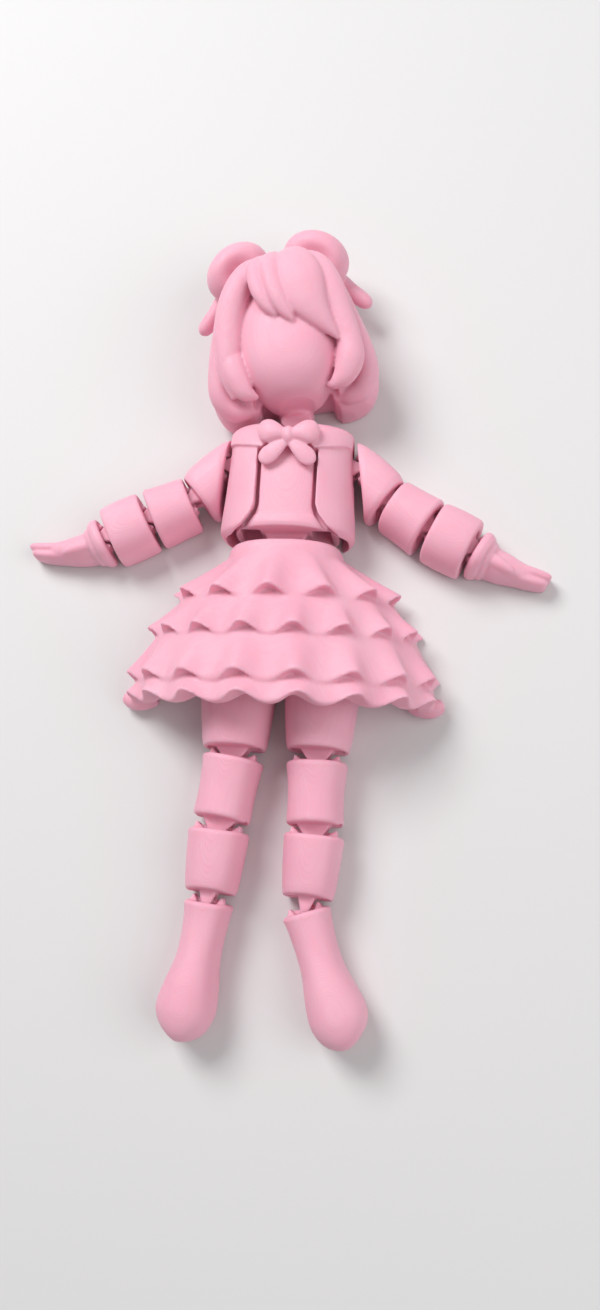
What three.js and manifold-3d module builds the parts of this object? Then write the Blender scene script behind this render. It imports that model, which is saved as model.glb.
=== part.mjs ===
// Articulated doll, printed in place in one colour, lying on its flat back.
// Millimetres. +Z is the front of the doll, +Y its head, +X its left hand.
// The origin is on the flat back of the torso. Every piece's own frame has its
// joint at x = 0, y = 0, and its far end towards -Y.
import * as THREE from 'three';
import { mergeVertices } from 'three/addons/utils/BufferGeometryUtils.js';
import Module from 'manifold-3d';

const wasm = await Module();
wasm.setup();

// Finish
const PLASTIC_PINK = 0xf2a3bd;
const PLASTIC_ROUGHNESS = 0.55;

// Limb joints: a tongue with an eye, on the piece nearer the torso, hangs on a
// bar between two ears of the next piece
const RIM_BEVEL = 0.6;
const BACK_BEVEL = 1.0;
const RUNNING_GAP = 0.35;
const EYE_WALL = 1.0;
const LEG_JOINT = {
  height: 6.6, gap: 2.3, bar: 1.0, play: 0.6, lean: 8, swing: 16,
  waist: 2.2, flank: 35, tip: 1.8, earHeight: 1.5, earBase: 2.6, earFlare: 1.8, earDepth: 1.9,
};
const ANKLE_JOINT = {
  ...LEG_JOINT, lean: 23, waist: 1.1, flank: 18, tip: 0.7, earBase: 2.0, earFlare: 0.9,
};
const ARM_JOINT = {
  height: 7.0, gap: 1.65, bar: 0.8, play: 0.35, lean: 17, swing: 12,
  waist: 1.3, flank: 26, tip: 0.9, earHeight: 0.9, earBase: 1.9, earFlare: 0.6, earDepth: 1.8,
};
const SHOULDER_JOINT = { ...ARM_JOINT, gap: 1.25, earHeight: 0.7 };
const WAIST_JOINT = {
  height: 8.2, gap: 3.2, bar: 1.2, play: 0.4, lean: 3, swing: 12,
  waist: 3.9, flank: 24, tip: 3.5, earHeight: 1.6, earBase: 2.4, earFlare: 0.9, earDepth: 2.4,
};
const NECK_JOINT = {
  height: 7.5, gap: 2.6, bar: 1.0, play: 0.4, lean: 12, swing: 10,
  waist: 2.2, flank: 34, tip: 1.7, earHeight: 0.8, earBase: 1.6, earFlare: 0.5, earDepth: 1.8,
};
const NECK_SIDE_PLAY = 1.4;
const HIP_JOINT = { ...LEG_JOINT, lean: 4 };

// Torso
const TORSO_TOP = 14.5;
const TORSO_HALF_WIDTH = 15.7;
const JACKET_HEM_HALF_WIDTH = 16.9;
const JACKET_HEM = -14.8;
const JACKET_DEPTH = 19.6;
const JACKET_WALL = 1.5;
const JACKET_OPENING = 7.5;
const BODICE_HEM = -13;
const BODICE_HALF_WIDTH = 13;
const BODICE_INSET = 1.4;
const BODICE_BAND = { height: 2.8, lift: 1.3 };
const BODICE_POCKET = { inner: 6.4, outer: 11.2, height: 6, back: 3, front: 13.4 };
const SEAM_WIDTH = 1.3;
const SEAM_DEPTH = 4.1;
const COLLAR_LIFT = 0.7;
const COLLAR_FLAP = [[3, 16.5], [4.6, 8.6], [6.4, 6.6], [11.4, 7.8], [15.4, 9.4], [15.4, 16.5]];
const NECK_BOW = { x: 0.1, y: 9.3, knot: [1.5, 2.2, 1.7] };
const NECK_BOW_LOBE = [
  [0.2, -0.2, 0.6, 0.8, 0.9], [2.6, 0.5, 1.0, 2.1, 1.5], [4.8, 0.9, 0.7, 3.0, 1.8],
  [6.4, 0.8, 0.1, 2.6, 1.5], [7.2, 0.7, -0.5, 1.2, 0.8],
];
const NECK_BOW_TAIL = [
  [0.4, -1.6, 0.4, 0.8, 0.9], [2.4, -3.2, 0.5, 1.8, 1.0], [4.6, -5.0, 0.1, 2.3, 1.0],
  [6.0, -6.2, -0.3, 1.7, 0.9], [6.6, -6.7, -0.5, 0.7, 0.5],
];
const SHOULDER_PLACE = 5.5;
const SHOULDER_SPLAY = 4;

// Skirt
const SKIRT_TOP_HALF_WIDTH = 13.8;
const SKIRT_TOP_DEPTH = 18;
const SKIRT_CORE_LENGTH = 32;
const HIP_SPREAD = 10.3;
const TIERS = [
  { from: -1, to: -15.3, halfWidth: 28.4, depth: 23.5, waves: 13.4, phase: 13.7 },
  { from: -13, to: -24.3, halfWidth: 34.6, depth: 26.5, waves: 17.7, phase: 1 },
  { from: -22, to: -35.8, halfWidth: 39, depth: 28.5, waves: 17.6, phase: 0 },
  { from: -33.5, to: -41.3, halfWidth: 38.8, depth: 28.5, waves: 17.6, phase: -1.5 },
];
const TIER_OVERHANG = 2.6;
const BELL_WALL = 6.4;
const BELL_FLARE = 3.2;
const BELL_STEPS = 16;
const SKIRT_BAND_FLARE = 0.5;
const RUFFLE_SWING = 1.5;
const RUFFLE_LIFT = 1.2;
const RUFFLE_SHARPNESS = 0.12;
const RUFFLE_RISE = 2.4;
const CORNER_CURL = [
  [31.6, -37.2, 2.5, 1.9, 2.4], [34.2, -38, 2.6, 2.5, 2.6],
  [37.2, -38.2, 2.6, 2.5, 2.6], [39.8, -37.4, 2.1, 1.5, 2],
];

// Legs: half-width and depth at each end of a segment
const THIGH = { length: 15.9, top: [9.3, 15.5], middle: [8.6, 15.4], end: [7.7, 15], slope: 0.6 };
const KNEE = { length: 15.2, top: [7.4, 14.6], middle: [6.75, 14], end: [6.85, 14], slope: 0.9 };
const SHIN = { length: 15, top: [7.25, 14], middle: [6.8, 13.6], end: [6.1, 13], slope: 1.4 };
const FOOT_OUTLINE = [
  [0, 5.8, 12.4], [4, 5.3, 12.2], [9, 5.0, 12.4], [14, 5.2, 13.2], [19, 6.2, 14.2],
  [24, 6.9, 14.6], [28, 6.3, 13.4], [30.6, 4.6, 11], [32, 2.4, 8],
];

// Arms
const SLEEVE_DEPTH = 13.4;
const SLEEVE_CAP = 10.1;
const SLEEVE_CAP_SHIFT = -1.8;
const SLEEVE_BEND = 46;
const UPPER_SLEEVE_END = { x: -8.8, y: -6.4, halfWidth: 6.8 };
const MIDDLE_SLEEVE = { length: 10.8, top: [6.9, 13.4], middle: [7.2, 13.6], end: [7.7, 13.8], slope: 0.4 };
const LOWER_SLEEVE = { length: 10.6, top: [7.7, 13.8], middle: [7.9, 13.8], end: [7.7, 13.4], slope: 0.4 };
const CUFF = { halfWidth: 6.1, depth: 12, length: 2.2 };
const WRIST = { halfWidth: 4.9, depth: 10.4, length: 4.4 };
const HAND_LENGTH = 20;
const HAND_BEND = 15;

// Head
const HEAD_ASIDE = 0.8;
const NECK_HALF_WIDTH = 4.5;
const NECK_DEPTH = 12.4;
const NECK_TOP = 8;
const NECK_END = 1.4;
const HAIR_OUTLINE = [
  [1.6, 14.5, 10], [2.7, 18.2, 13.4], [5, 20.4, 16.2], [9, 21.6, 18.6], [14, 20.9, 20.8], [20, 19, 23.6],
  [27, 16.8, 25.8], [31.5, 14.6, 26.4], [34.6, 12.2, 25], [37.2, 8.8, 22.4], [39.3, 5.4, 19], [40.4, 2.6, 15],
];
const FACE_BASE = 9;
const FACE_OUTLINE = [
  [2.2, 4.6, 19], [3.6, 7.2, 22.4], [7.2, 10.2, 25.4], [12, 12.2, 26.8], [18, 12.9, 26.8], [24, 12.8, 26],
  [29, 12, 24], [33, 9.6, 23],
];
const FACE_OPENING = [
  [-6.6, 31.5], [-6.4, 26], [-4.4, 22], [-1, 20], [3, 18.4], [9, 17], [12.6, 13.8], [12.4, 10.5], [11.4, 7.5],
  [10.5, 5], [10.5, 0], [11, -4], [-11.5, -4], [-11.5, 5], [-12.6, 8], [-13, 14], [-12.4, 21], [-10.4, 27],
];
const FACE_OPENING_FLOOR = 18;
const CHIN_OPENING = [[10.8, -4], [10.8, 6]];
const CHIN_OPENING_FLOOR = 12.9;
const NECK_OPENING = [[11.6, -4], [11.2, 1.2], [9.4, 3.2], [9, 5.5]];
const NECK_OPENING_DEPTH = 13;

// Strands of hair: x, y, z, half width and half thickness along each
const SIDE_STRAND = [
  [10.5, 33.5, 20.5, 2.6, 2.5], [13.2, 29, 20, 3, 3.2], [15.4, 22.5, 18, 3.1, 3.5],
  [17.9, 15, 15.4, 3, 4], [18.6, 8.6, 13.8, 3.1, 4], [16.6, 4.9, 12.4, 2.8, 3.4],
  [13.4, 3.7, 11.8, 2.1, 2.8], [10.8, 3.8, 11.2, 1.2, 1.8],
];
const STRANDS = [
  [
    [-3, 37.6, 21.6, 2.2, 2], [-7, 34.8, 24, 3.1, 2.8], [-11, 29.6, 24.2, 3.4, 3],
    [-13.4, 24, 23, 3.4, 3], [-14.8, 17, 21.6, 3.2, 3], [-15.3, 10.5, 20, 2.6, 2.5],
    [-14.6, 5, 18, 1.2, 1.2],
  ],
  [
    [-13, 20, 18.4, 0.7, 0.9], [-13.5, 15, 20.4, 2, 2.1], [-13.8, 10, 20.8, 3, 2.9],
    [-12.5, 6.3, 19.7, 2.6, 2.4], [-10.4, 4.6, 18.8, 1.4, 1.5], [-9, 4.2, 18.4, 0.5, 0.6],
  ],
  [
    [5.6, 36.8, 22.8, 2.8, 2.6], [9.6, 33, 24.8, 3.8, 3], [12.2, 27, 25, 3.8, 2.8],
    [14, 20.5, 23.6, 3.2, 2.7], [15.2, 14.5, 22, 3.1, 2.9], [14.9, 9.5, 21, 3.5, 3.2],
    [13, 6, 20, 3, 2.6], [10.4, 4.4, 19, 1.7, 1.7], [8.3, 4.4, 18.5, 0.5, 0.6],
  ],
  [
    [-2, 37.8, 22.4, 2.2, 2], [-4.4, 34.6, 26.4, 2.6, 2], [-5, 30.6, 27.6, 2.4, 1.9],
    [-4.6, 26.5, 28, 2, 1.7], [-3, 22.8, 27.4, 1.4, 1.3], [-1.4, 20.6, 26.8, 0.4, 0.5],
  ],
  [
    [0.3, 38.2, 22.6, 2.4, 2], [-1.2, 34.8, 27.2, 2.7, 2], [-1.4, 30.6, 28.6, 2.6, 2],
    [-0.6, 25, 28.8, 2.2, 1.8], [1, 20.8, 27.8, 1.5, 1.4], [2.6, 18.4, 27, 0.4, 0.5],
  ],
  [
    [3, 38, 22.8, 3, 2.2], [4, 34.8, 27, 4.8, 2.6], [5.2, 29.5, 28.3, 5.8, 2.8],
    [6.4, 24, 27.8, 5.2, 2.6], [8.6, 19.4, 26.6, 3.2, 2], [11.4, 15.4, 24.9, 1.5, 1.2],
    [12.6, 13.4, 24, 0.4, 0.5],
  ],
];
const HAIR_BOW = { x: 10.2, y: 41.1, z: 15, length: 8.7, width: 6.6, depth: 8, fall: 28 };
const HAIR_BOW_HOLLOW = { x: -0.6, y: -2.8, length: 0.6, width: 0.42, depth: 0.42 };
const HAIR_BOW_TAIL = [
  [13, 39.5, 9, 2.6, 3], [15.5, 36.8, 9, 2.5, 3], [18.2, 33.8, 8.8, 2.1, 2.6], [20.8, 31.2, 8.4, 2, 2.2],
  [22, 30, 8.2, 1.5, 1.6], [22.6, 29.4, 8, 0.5, 0.6],
];

// Rest pose: lean in the bed plane, and how far each joint is pulled out
const POSE = {
  neck: { lean: 11, pull: 0.2, shift: 1.2 },
  waist: { lean: 1, pull: 0 },
  right: {
    shoulder: { lean: -1, pull: -0.25 },
    elbow: { lean: -16, pull: 0.35 },
    forearm: { lean: 1.5, pull: -0.35 },
    wrist: { lean: 1, pull: -0.3 },
    hip: { lean: -1.5, pull: 0 },
    knee: { lean: -7, pull: -0.1 },
    shin: { lean: 3.5, pull: 0.1 },
    ankle: { lean: -2, pull: -0.3 },
  },
  left: {
    shoulder: { lean: 4, pull: 0.25 },
    elbow: { lean: 5.5, pull: -0.3 },
    forearm: { lean: 7, pull: -0.25 },
    wrist: { lean: -4, pull: -0.35 },
    hip: { lean: -2, pull: 0 },
    knee: { lean: 2, pull: 0.3 },
    shin: { lean: -4, pull: -0.2 },
    ankle: { lean: 22, pull: 0.55 },
  },
};

const RAD = Math.PI / 180;
const CROWN_STEPS = 8;
const ROUND_STEPS = 12;
const RUFFLE_STEPS = 56;

// Solids and meshes

function toSolid(geometry) {
  const bare = geometry.clone();
  bare.deleteAttribute('normal');
  bare.deleteAttribute('uv');
  const merged = mergeVertices(bare, 1e-5);
  return new wasm.Manifold(new wasm.Mesh({
    numProp: 3,
    vertProperties: new Float32Array(merged.attributes.position.array),
    triVerts: new Uint32Array(merged.index.array),
  }));
}

// Crossing curved bodies can close off pockets of air; only the outer skin
// becomes the piece
function toMesh(name, solid) {
  const raw = solid.decompose().reduce((a, b) => (a.volume() > b.volume() ? a : b)).getMesh();
  const geometry = new THREE.BufferGeometry();
  geometry.setAttribute('position', new THREE.BufferAttribute(new Float32Array(raw.vertProperties), 3));
  geometry.setIndex(new THREE.BufferAttribute(new Uint32Array(raw.triVerts), 1));
  geometry.computeVertexNormals();
  const material = new THREE.MeshStandardMaterial({
    color: PLASTIC_PINK, roughness: PLASTIC_ROUGHNESS, metalness: 0,
  });
  const mesh = new THREE.Mesh(geometry, material);
  mesh.name = name;
  return mesh;
}

function joined(solids) {
  return solids.reduce((sum, solid) => sum.add(solid));
}

// A closed body through rings of equal size, listed from the top down; each
// ring runs from the back corner on +X over the crown to the one on -X
function loft(rings) {
  const count = rings[0].length;
  const positions = rings.flat().flatMap((p) => [p.x, p.y, p.z]);
  const index = [];
  const quad = (a, b, c, d) => index.push(a, c, b, a, d, c);
  for (let r = 0; r + 1 < rings.length; r += 1) {
    for (let i = 0; i < count; i += 1) {
      const j = (i + 1) % count;
      quad(r * count + i, (r + 1) * count + i, (r + 1) * count + j, r * count + j);
    }
  }
  const last = (rings.length - 1) * count;
  for (let i = 0; i + 1 < count - 1 - i; i += 1) {
    const far = count - 1 - i;
    index.push(i, far, i + 1);
    index.push(last + far, last + i, last + i + 1);
    if (far - 1 > i + 1) {
      index.push(i + 1, far, far - 1);
      index.push(last + far, last + i + 1, last + far - 1);
    }
  }
  const geometry = new THREE.BufferGeometry();
  geometry.setAttribute('position', new THREE.Float32BufferAttribute(positions, 3));
  geometry.setIndex(index);
  return toSolid(geometry);
}

// D-shaped section: flat back, rounded sides, crown at the depth. A sloped
// section rises towards its crown
function section({
  x = 0, y, halfWidth, depth, base = 0, inset = 0, backInset = inset, turn = 0, slope = 0, steps = CROWN_STEPS,
}) {
  const w = halfWidth - inset;
  const top = depth - base - inset;
  const shoulder = (depth - base) * 0.36;
  const flat = [];
  flat.push([w * 0.84, backInset]);
  flat.push([w * 0.965, backInset + (shoulder - backInset) * 0.35]);
  for (let i = 0; i <= steps; i += 1) {
    const a = (i / steps) * Math.PI;
    const c = Math.cos(a);
    const s = Math.sin(a);
    flat.push([w * Math.sign(c) * Math.abs(c) ** 0.86, shoulder + (top - shoulder) * s ** 0.86]);
  }
  flat.push([-w * 0.965, backInset + (shoulder - backInset) * 0.35]);
  flat.push([-w * 0.84, backInset]);
  return flat.map(([px, pz]) => new THREE.Vector3(
    x + px * Math.cos(turn * RAD),
    y + px * Math.sin(turn * RAD) + slope * Math.max(0, pz / depth) ** 2,
    base + pz,
  ));
}

// A piece's outline given as [distance down, half-width, depth] rows, with
// bevelled ends
function taperedBody(rows, slope = 0) {
  const rings = [];
  const first = rows[0];
  const last = rows[rows.length - 1];
  const rim = { inset: RIM_BEVEL, backInset: BACK_BEVEL };
  rings.push(section({ y: -first[0], halfWidth: first[1], depth: first[2], ...rim }));
  rings.push(section({ y: -first[0] - BACK_BEVEL, halfWidth: first[1], depth: first[2] }));
  for (const [down, halfWidth, depth] of rows.slice(1, -1)) {
    rings.push(section({ y: -down, halfWidth, depth, slope: slope * (down / last[0]) ** 2 }));
  }
  rings.push(section({ y: -last[0] + BACK_BEVEL, halfWidth: last[1], depth: last[2], slope }));
  rings.push(section({ y: -last[0], halfWidth: last[1], depth: last[2], slope, ...rim }));
  return loft(rings);
}

function prism(points, from, to) {
  const shape = new THREE.Shape(points.map(([px, py]) => new THREE.Vector2(px, py)));
  const geometry = new THREE.ExtrudeGeometry(shape, { depth: to - from, bevelEnabled: false, steps: 1 });
  geometry.translate(0, 0, from);
  return geometry;
}

function barAlongX(radius, halfLength, steps = ROUND_STEPS) {
  const geometry = new THREE.CylinderGeometry(radius, radius, 2 * halfLength, steps);
  geometry.rotateZ(Math.PI / 2);
  return geometry;
}

// An ellipse swept along a path, as a strand of hair or a ribbon
function strand(rows, side = 1, around = 7) {
  const spots = rows.map(([x, y, z]) => new THREE.Vector3(side * x, y, z));
  const positions = [];
  rows.forEach(([, , , halfWidth, halfThickness], i) => {
    const next = spots[Math.min(i + 1, spots.length - 1)];
    const along = next.clone().sub(spots[Math.max(i - 1, 0)]).normalize();
    const wide = along.clone().cross(new THREE.Vector3(0, 0, 1)).normalize();
    const thick = wide.clone().cross(along);
    for (let k = 0; k < around; k += 1) {
      const a = (k / around) * 2 * Math.PI;
      const spot = spots[i].clone();
      spot.addScaledVector(wide, halfWidth * Math.cos(a)).addScaledVector(thick, halfThickness * Math.sin(a));
      positions.push(spot.x, spot.y, spot.z);
    }
  });
  const index = [];
  for (let r = 0; r + 1 < rows.length; r += 1) {
    for (let k = 0; k < around; k += 1) {
      const a = r * around + k;
      const b = r * around + ((k + 1) % around);
      index.push(a, a + around, b, b, a + around, b + around);
    }
  }
  const last = (rows.length - 1) * around;
  for (let k = 1; k + 1 < around; k += 1) {
    index.push(0, k, k + 1, last, last + k + 1, last + k);
  }
  const geometry = new THREE.BufferGeometry();
  geometry.setAttribute('position', new THREE.Float32BufferAttribute(positions, 3));
  geometry.setIndex(index);
  return toSolid(geometry);
}

function ellipsoid(x, y, z, rx, ry, rz, across = 14, down = 10) {
  const geometry = new THREE.SphereGeometry(1, across, down);
  geometry.scale(rx, ry, rz);
  geometry.translate(x, y, z);
  return geometry;
}

// Joint sizes that follow from a joint's driving sizes
function jointSizes(joint) {
  const lean = joint.lean * RAD;
  const hole = joint.bar / Math.cos(lean) + joint.waist * Math.tan(lean) + 0.1;
  const eye = hole + joint.play + EYE_WALL;
  const recess = eye + joint.play + RUNNING_GAP;
  const sway = eye * Math.sin(lean) + joint.tip * Math.cos(lean);
  const rise = eye * Math.sin(joint.swing * RAD) * Math.tan(joint.flank * RAD);
  const slot = Math.max(sway, joint.waist / Math.cos(lean) + rise) + RUNNING_GAP;
  return { hole, eye, recess, slot };
}

// The frame of a joint: where its rim centre lies in a piece, and how the
// direction out of the piece is turned
function inFrame(geometry, frame, height) {
  geometry.translate(0, 0, height);
  geometry.rotateZ((frame.turn ?? 0) * RAD);
  geometry.translate(frame.x ?? 0, frame.y ?? 0, 0);
  return geometry;
}

// Ears, bar and recess at the top of the piece that hangs on the joint
function withClevis(body, joint, frame = {}, sidePlay = 0) {
  const sizes = jointSizes(joint);
  const slot = sizes.slot + sidePlay;
  const recess = inFrame(barAlongX(sizes.recess, slot, 16), frame, joint.height);
  const bar = inFrame(barAlongX(joint.bar, slot + 0.6, 8), frame, joint.height);
  let solid = body.subtract(toSolid(recess));
  for (const side of [-1, 1]) {
    const outline = [
      [side * slot, -0.6], [side * slot, 0], [side * (slot + joint.earFlare), joint.earHeight],
      [side * (slot + joint.earFlare + 0.5), joint.earHeight], [side * (slot + joint.earBase), -0.2],
      [side * (slot + joint.earBase), -0.6],
    ];
    const ear = prism(outline, -joint.earDepth, joint.earDepth);
    solid = solid.add(toSolid(inFrame(ear, frame, joint.height)));
  }
  return solid.add(toSolid(bar));
}

// Tongue and eye at the far end of the piece that carries the joint, with a
// hollow round it that the ears turn in
function withTongue(body, joint, frame, sidePlay = 0) {
  const sizes = jointSizes(joint);
  const slot = sizes.slot + sidePlay;
  const reach = Math.hypot(joint.earHeight, joint.earDepth) + joint.play + RUNNING_GAP;
  const hollowHalf = slot + joint.earBase + 0.6;
  const root = joint.gap + Math.max(0.8, reach - joint.gap) + 0.6;
  const rootHalf = joint.waist + joint.gap * Math.tan(joint.flank * RAD);
  const plan = [
    [joint.tip, -sizes.eye], [joint.waist, 0], [rootHalf, joint.gap], [rootHalf, root],
    [-rootHalf, root], [-rootHalf, joint.gap], [-joint.waist, 0], [-joint.tip, -sizes.eye],
  ];
  const blade = toSolid(inJoint(prism(plan, -sizes.eye, sizes.eye), joint, frame));
  const side = new THREE.Shape();
  side.moveTo(root + 1, -sizes.eye);
  side.lineTo(root + 1, sizes.eye);
  side.lineTo(0, sizes.eye);
  side.absarc(0, 0, sizes.eye, Math.PI / 2, Math.PI * 1.5, false);
  const cheek = new THREE.ExtrudeGeometry(side, {
    depth: 2 * rootHalf + 2,
    bevelEnabled: false,
    curveSegments: 6,
  });
  cheek.translate(0, 0, -rootHalf - 1);
  cheek.applyMatrix4(new THREE.Matrix4().makeBasis(
    new THREE.Vector3(0, 1, 0), new THREE.Vector3(0, 0, 1), new THREE.Vector3(1, 0, 0),
  ));
  const tongue = blade.intersect(toSolid(inJoint(cheek, joint, frame)));
  const hole = barAlongX(sizes.hole, rootHalf + 1, 10);
  hole.scale(1, (sizes.hole + joint.play) / sizes.hole, 1);
  const hollow = barAlongX(reach, hollowHalf, 12);
  return body
    .subtract(toSolid(inJoint(hollow, joint, frame)))
    .add(tongue)
    .subtract(toSolid(inJoint(hole, joint, frame)));
}

// Geometry about a joint's bar, placed beyond the rim that carries the tongue
function inJoint(geometry, joint, frame) {
  geometry.translate(0, -joint.gap, 0);
  return inFrame(geometry, frame, joint.height);
}

// Group of a piece that hangs on a joint, in the frame of the piece above
function hung(joint, frame, pose) {
  const group = new THREE.Group();
  const turn = (frame.turn ?? 0) * RAD;
  const down = joint.gap + pose.pull;
  const aside = pose.shift ?? 0;
  group.position.set(
    (frame.x ?? 0) + Math.sin(turn) * down + Math.cos(turn) * aside,
    (frame.y ?? 0) - Math.cos(turn) * down + Math.sin(turn) * aside,
    0,
  );
  group.rotation.z = turn + pose.lean * RAD;
  return group;
}

// Legs

function segmentBody(size) {
  return taperedBody([
    [0, ...size.top], [size.length / 2, ...size.middle], [size.length, ...size.end],
  ], size.slope);
}

function footBody() {
  return taperedBody(FOOT_OUTLINE);
}

function leg(name, pose) {
  const end = (size) => ({ y: -size.length });
  const thigh = new THREE.Group();
  const thighBody = withTongue(withClevis(segmentBody(THIGH), HIP_JOINT), LEG_JOINT, end(THIGH));
  thigh.add(toMesh(`${name}_thigh`, thighBody));

  const knee = hung(LEG_JOINT, end(THIGH), pose.knee);
  const kneeBody = withTongue(withClevis(segmentBody(KNEE), LEG_JOINT), LEG_JOINT, end(KNEE));
  knee.add(toMesh(`${name}_knee`, kneeBody));
  thigh.add(knee);

  const shin = hung(LEG_JOINT, end(KNEE), pose.shin);
  const shinBody = withTongue(withClevis(segmentBody(SHIN), LEG_JOINT), ANKLE_JOINT, end(SHIN));
  shin.add(toMesh(`${name}_shin`, shinBody));
  knee.add(shin);

  const foot = hung(ANKLE_JOINT, end(SHIN), pose.ankle);
  foot.add(toMesh(`${name}_foot`, withClevis(footBody(), ANKLE_JOINT)));
  shin.add(foot);
  return thigh;
}

// Arms

// Sleeve cap: long flat face against the jacket, shorter round end for the
// elbow, turned by the bend
function upperSleeveBody(side) {
  const rings = [];
  const steps = 5;
  for (let i = 0; i <= steps; i += 1) {
    const t = i / steps;
    const turn = -side * SLEEVE_BEND * t;
    const halfWidth = SLEEVE_CAP + (UPPER_SLEEVE_END.halfWidth - SLEEVE_CAP) * t ** 0.8;
    const rim = i === 0 || i === steps;
    rings.push(section({
      x: side * (SLEEVE_CAP_SHIFT + (UPPER_SLEEVE_END.x - SLEEVE_CAP_SHIFT) * t),
      y: UPPER_SLEEVE_END.y * t,
      halfWidth,
      depth: SLEEVE_DEPTH,
      inset: rim ? RIM_BEVEL : 0,
      backInset: rim ? BACK_BEVEL : 0,
      turn,
    }));
  }
  return loft(rings);
}

// Cuff rings and a mitten hand with the thumb against its lower edge
function handBody(side) {
  const cuff = taperedBody([
    [0, CUFF.halfWidth, CUFF.depth], [CUFF.length / 2 + 0.4, CUFF.halfWidth, CUFF.depth],
    [CUFF.length + 0.6, CUFF.halfWidth - 0.3, CUFF.depth - 0.3],
  ]);
  const wrist = loft([
    section({ y: -CUFF.length, halfWidth: WRIST.halfWidth, depth: WRIST.depth, inset: 0.4 }),
    section({ y: -WRIST.length + 0.5, halfWidth: WRIST.halfWidth, depth: WRIST.depth }),
    section({ y: -WRIST.length, halfWidth: WRIST.halfWidth, depth: WRIST.depth, inset: 0.6 }),
  ]);
  const palm = [];
  const profile = [
    [WRIST.length - 0.8, 3.9, 8.6], [7.5, 3.9, 8.2], [10.5, 4.3, 8.2], [13.5, 3.9, 7.4],
    [16.5, 2.9, 6.2], [19, 1.7, 4.8], [HAND_LENGTH, 0.7, 3.4],
  ];
  for (const [down, halfWidth, depth] of profile) {
    const t = down / HAND_LENGTH;
    const bend = side * Math.tan(HAND_BEND * RAD) * down * t * 1.3;
    palm.push(section({ x: bend, y: -down, halfWidth, depth, turn: side * HAND_BEND * t }));
  }
  const thumb = [];
  for (const [down, offset, halfWidth, depth] of [
    [6, -2.2, 1.6, 5], [8.5, -3.0, 1.7, 5.2], [11.5, -2.4, 1.4, 4.8], [13.6, -1.4, 0.7, 4],
  ]) {
    thumb.push(section({ x: side * offset, y: -down, halfWidth, depth, steps: 6 }));
  }
  return joined([cuff, wrist, loft(palm), loft(thumb)]);
}

function arm(name, side, pose) {
  const end = (size) => ({ y: -size.length });
  const cap = new THREE.Group();
  const capEnd = { x: side * UPPER_SLEEVE_END.x, y: UPPER_SLEEVE_END.y, turn: -side * SLEEVE_BEND };
  const capBody = withTongue(withClevis(upperSleeveBody(side), SHOULDER_JOINT), ARM_JOINT, capEnd);
  cap.add(toMesh(`${name}_upper_sleeve`, capBody));

  const middle = hung(ARM_JOINT, capEnd, pose.elbow);
  const middleSleeve = withClevis(segmentBody(MIDDLE_SLEEVE), ARM_JOINT);
  const middleBody = withTongue(middleSleeve, ARM_JOINT, end(MIDDLE_SLEEVE));
  middle.add(toMesh(`${name}_middle_sleeve`, middleBody));
  cap.add(middle);

  const lower = hung(ARM_JOINT, end(MIDDLE_SLEEVE), pose.forearm);
  const lowerBody = withTongue(withClevis(segmentBody(LOWER_SLEEVE), ARM_JOINT), ARM_JOINT, end(LOWER_SLEEVE));
  lower.add(toMesh(`${name}_lower_sleeve`, lowerBody));
  middle.add(lower);

  const hand = hung(ARM_JOINT, end(LOWER_SLEEVE), pose.wrist);
  hand.add(toMesh(`${name}_hand`, withClevis(handBody(side), ARM_JOINT)));
  lower.add(hand);
  return cap;
}

// Torso: open jacket over a bodice, collar flaps and neck bow

const jacketRows = [
  [TORSO_TOP, TORSO_HALF_WIDTH - 1.2, JACKET_DEPTH - 4.4],
  [TORSO_TOP - 2.4, TORSO_HALF_WIDTH - 0.2, JACKET_DEPTH - 1.6],
  [SHOULDER_PLACE, TORSO_HALF_WIDTH, JACKET_DEPTH - 0.3],
  [-4, TORSO_HALF_WIDTH + 0.6, JACKET_DEPTH],
  [JACKET_HEM + 3, JACKET_HEM_HALF_WIDTH, JACKET_DEPTH],
  [JACKET_HEM + 1.2, JACKET_HEM_HALF_WIDTH - 0.5, JACKET_DEPTH - 0.6],
  [JACKET_HEM, JACKET_HEM_HALF_WIDTH - 2.2, JACKET_DEPTH - 1.6],
];

function crossSections(rows, grow = 0, steps = 16) {
  return loft(rows.map(([y, halfWidth, depth]) => section({
    y, halfWidth: halfWidth + grow, depth: depth + grow, steps,
  })));
}

// Front edge of the jacket, from the neck down round its corner
function jacketEdge(side, out = 0) {
  const line = [[0, TORSO_TOP + 1], [0, -7.5], [0.9, -10], [3, -12.6], [5.5, -14], [6, JACKET_HEM - 1]];
  return line.map(([x, y]) => [side * (JACKET_OPENING + x + out), y]);
}

function jacketBody() {
  const lining = [JACKET_HEM_HALF_WIDTH - JACKET_WALL, JACKET_DEPTH - JACKET_WALL];
  const hollow = crossSections([[JACKET_HEM + 6, ...lining], [JACKET_HEM - 1, ...lining]]);
  const opening = prism([...jacketEdge(-1), ...jacketEdge(1).reverse()], JACKET_DEPTH * 0.6, JACKET_DEPTH + 4);
  return crossSections(jacketRows).subtract(hollow).subtract(toSolid(opening));
}

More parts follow.
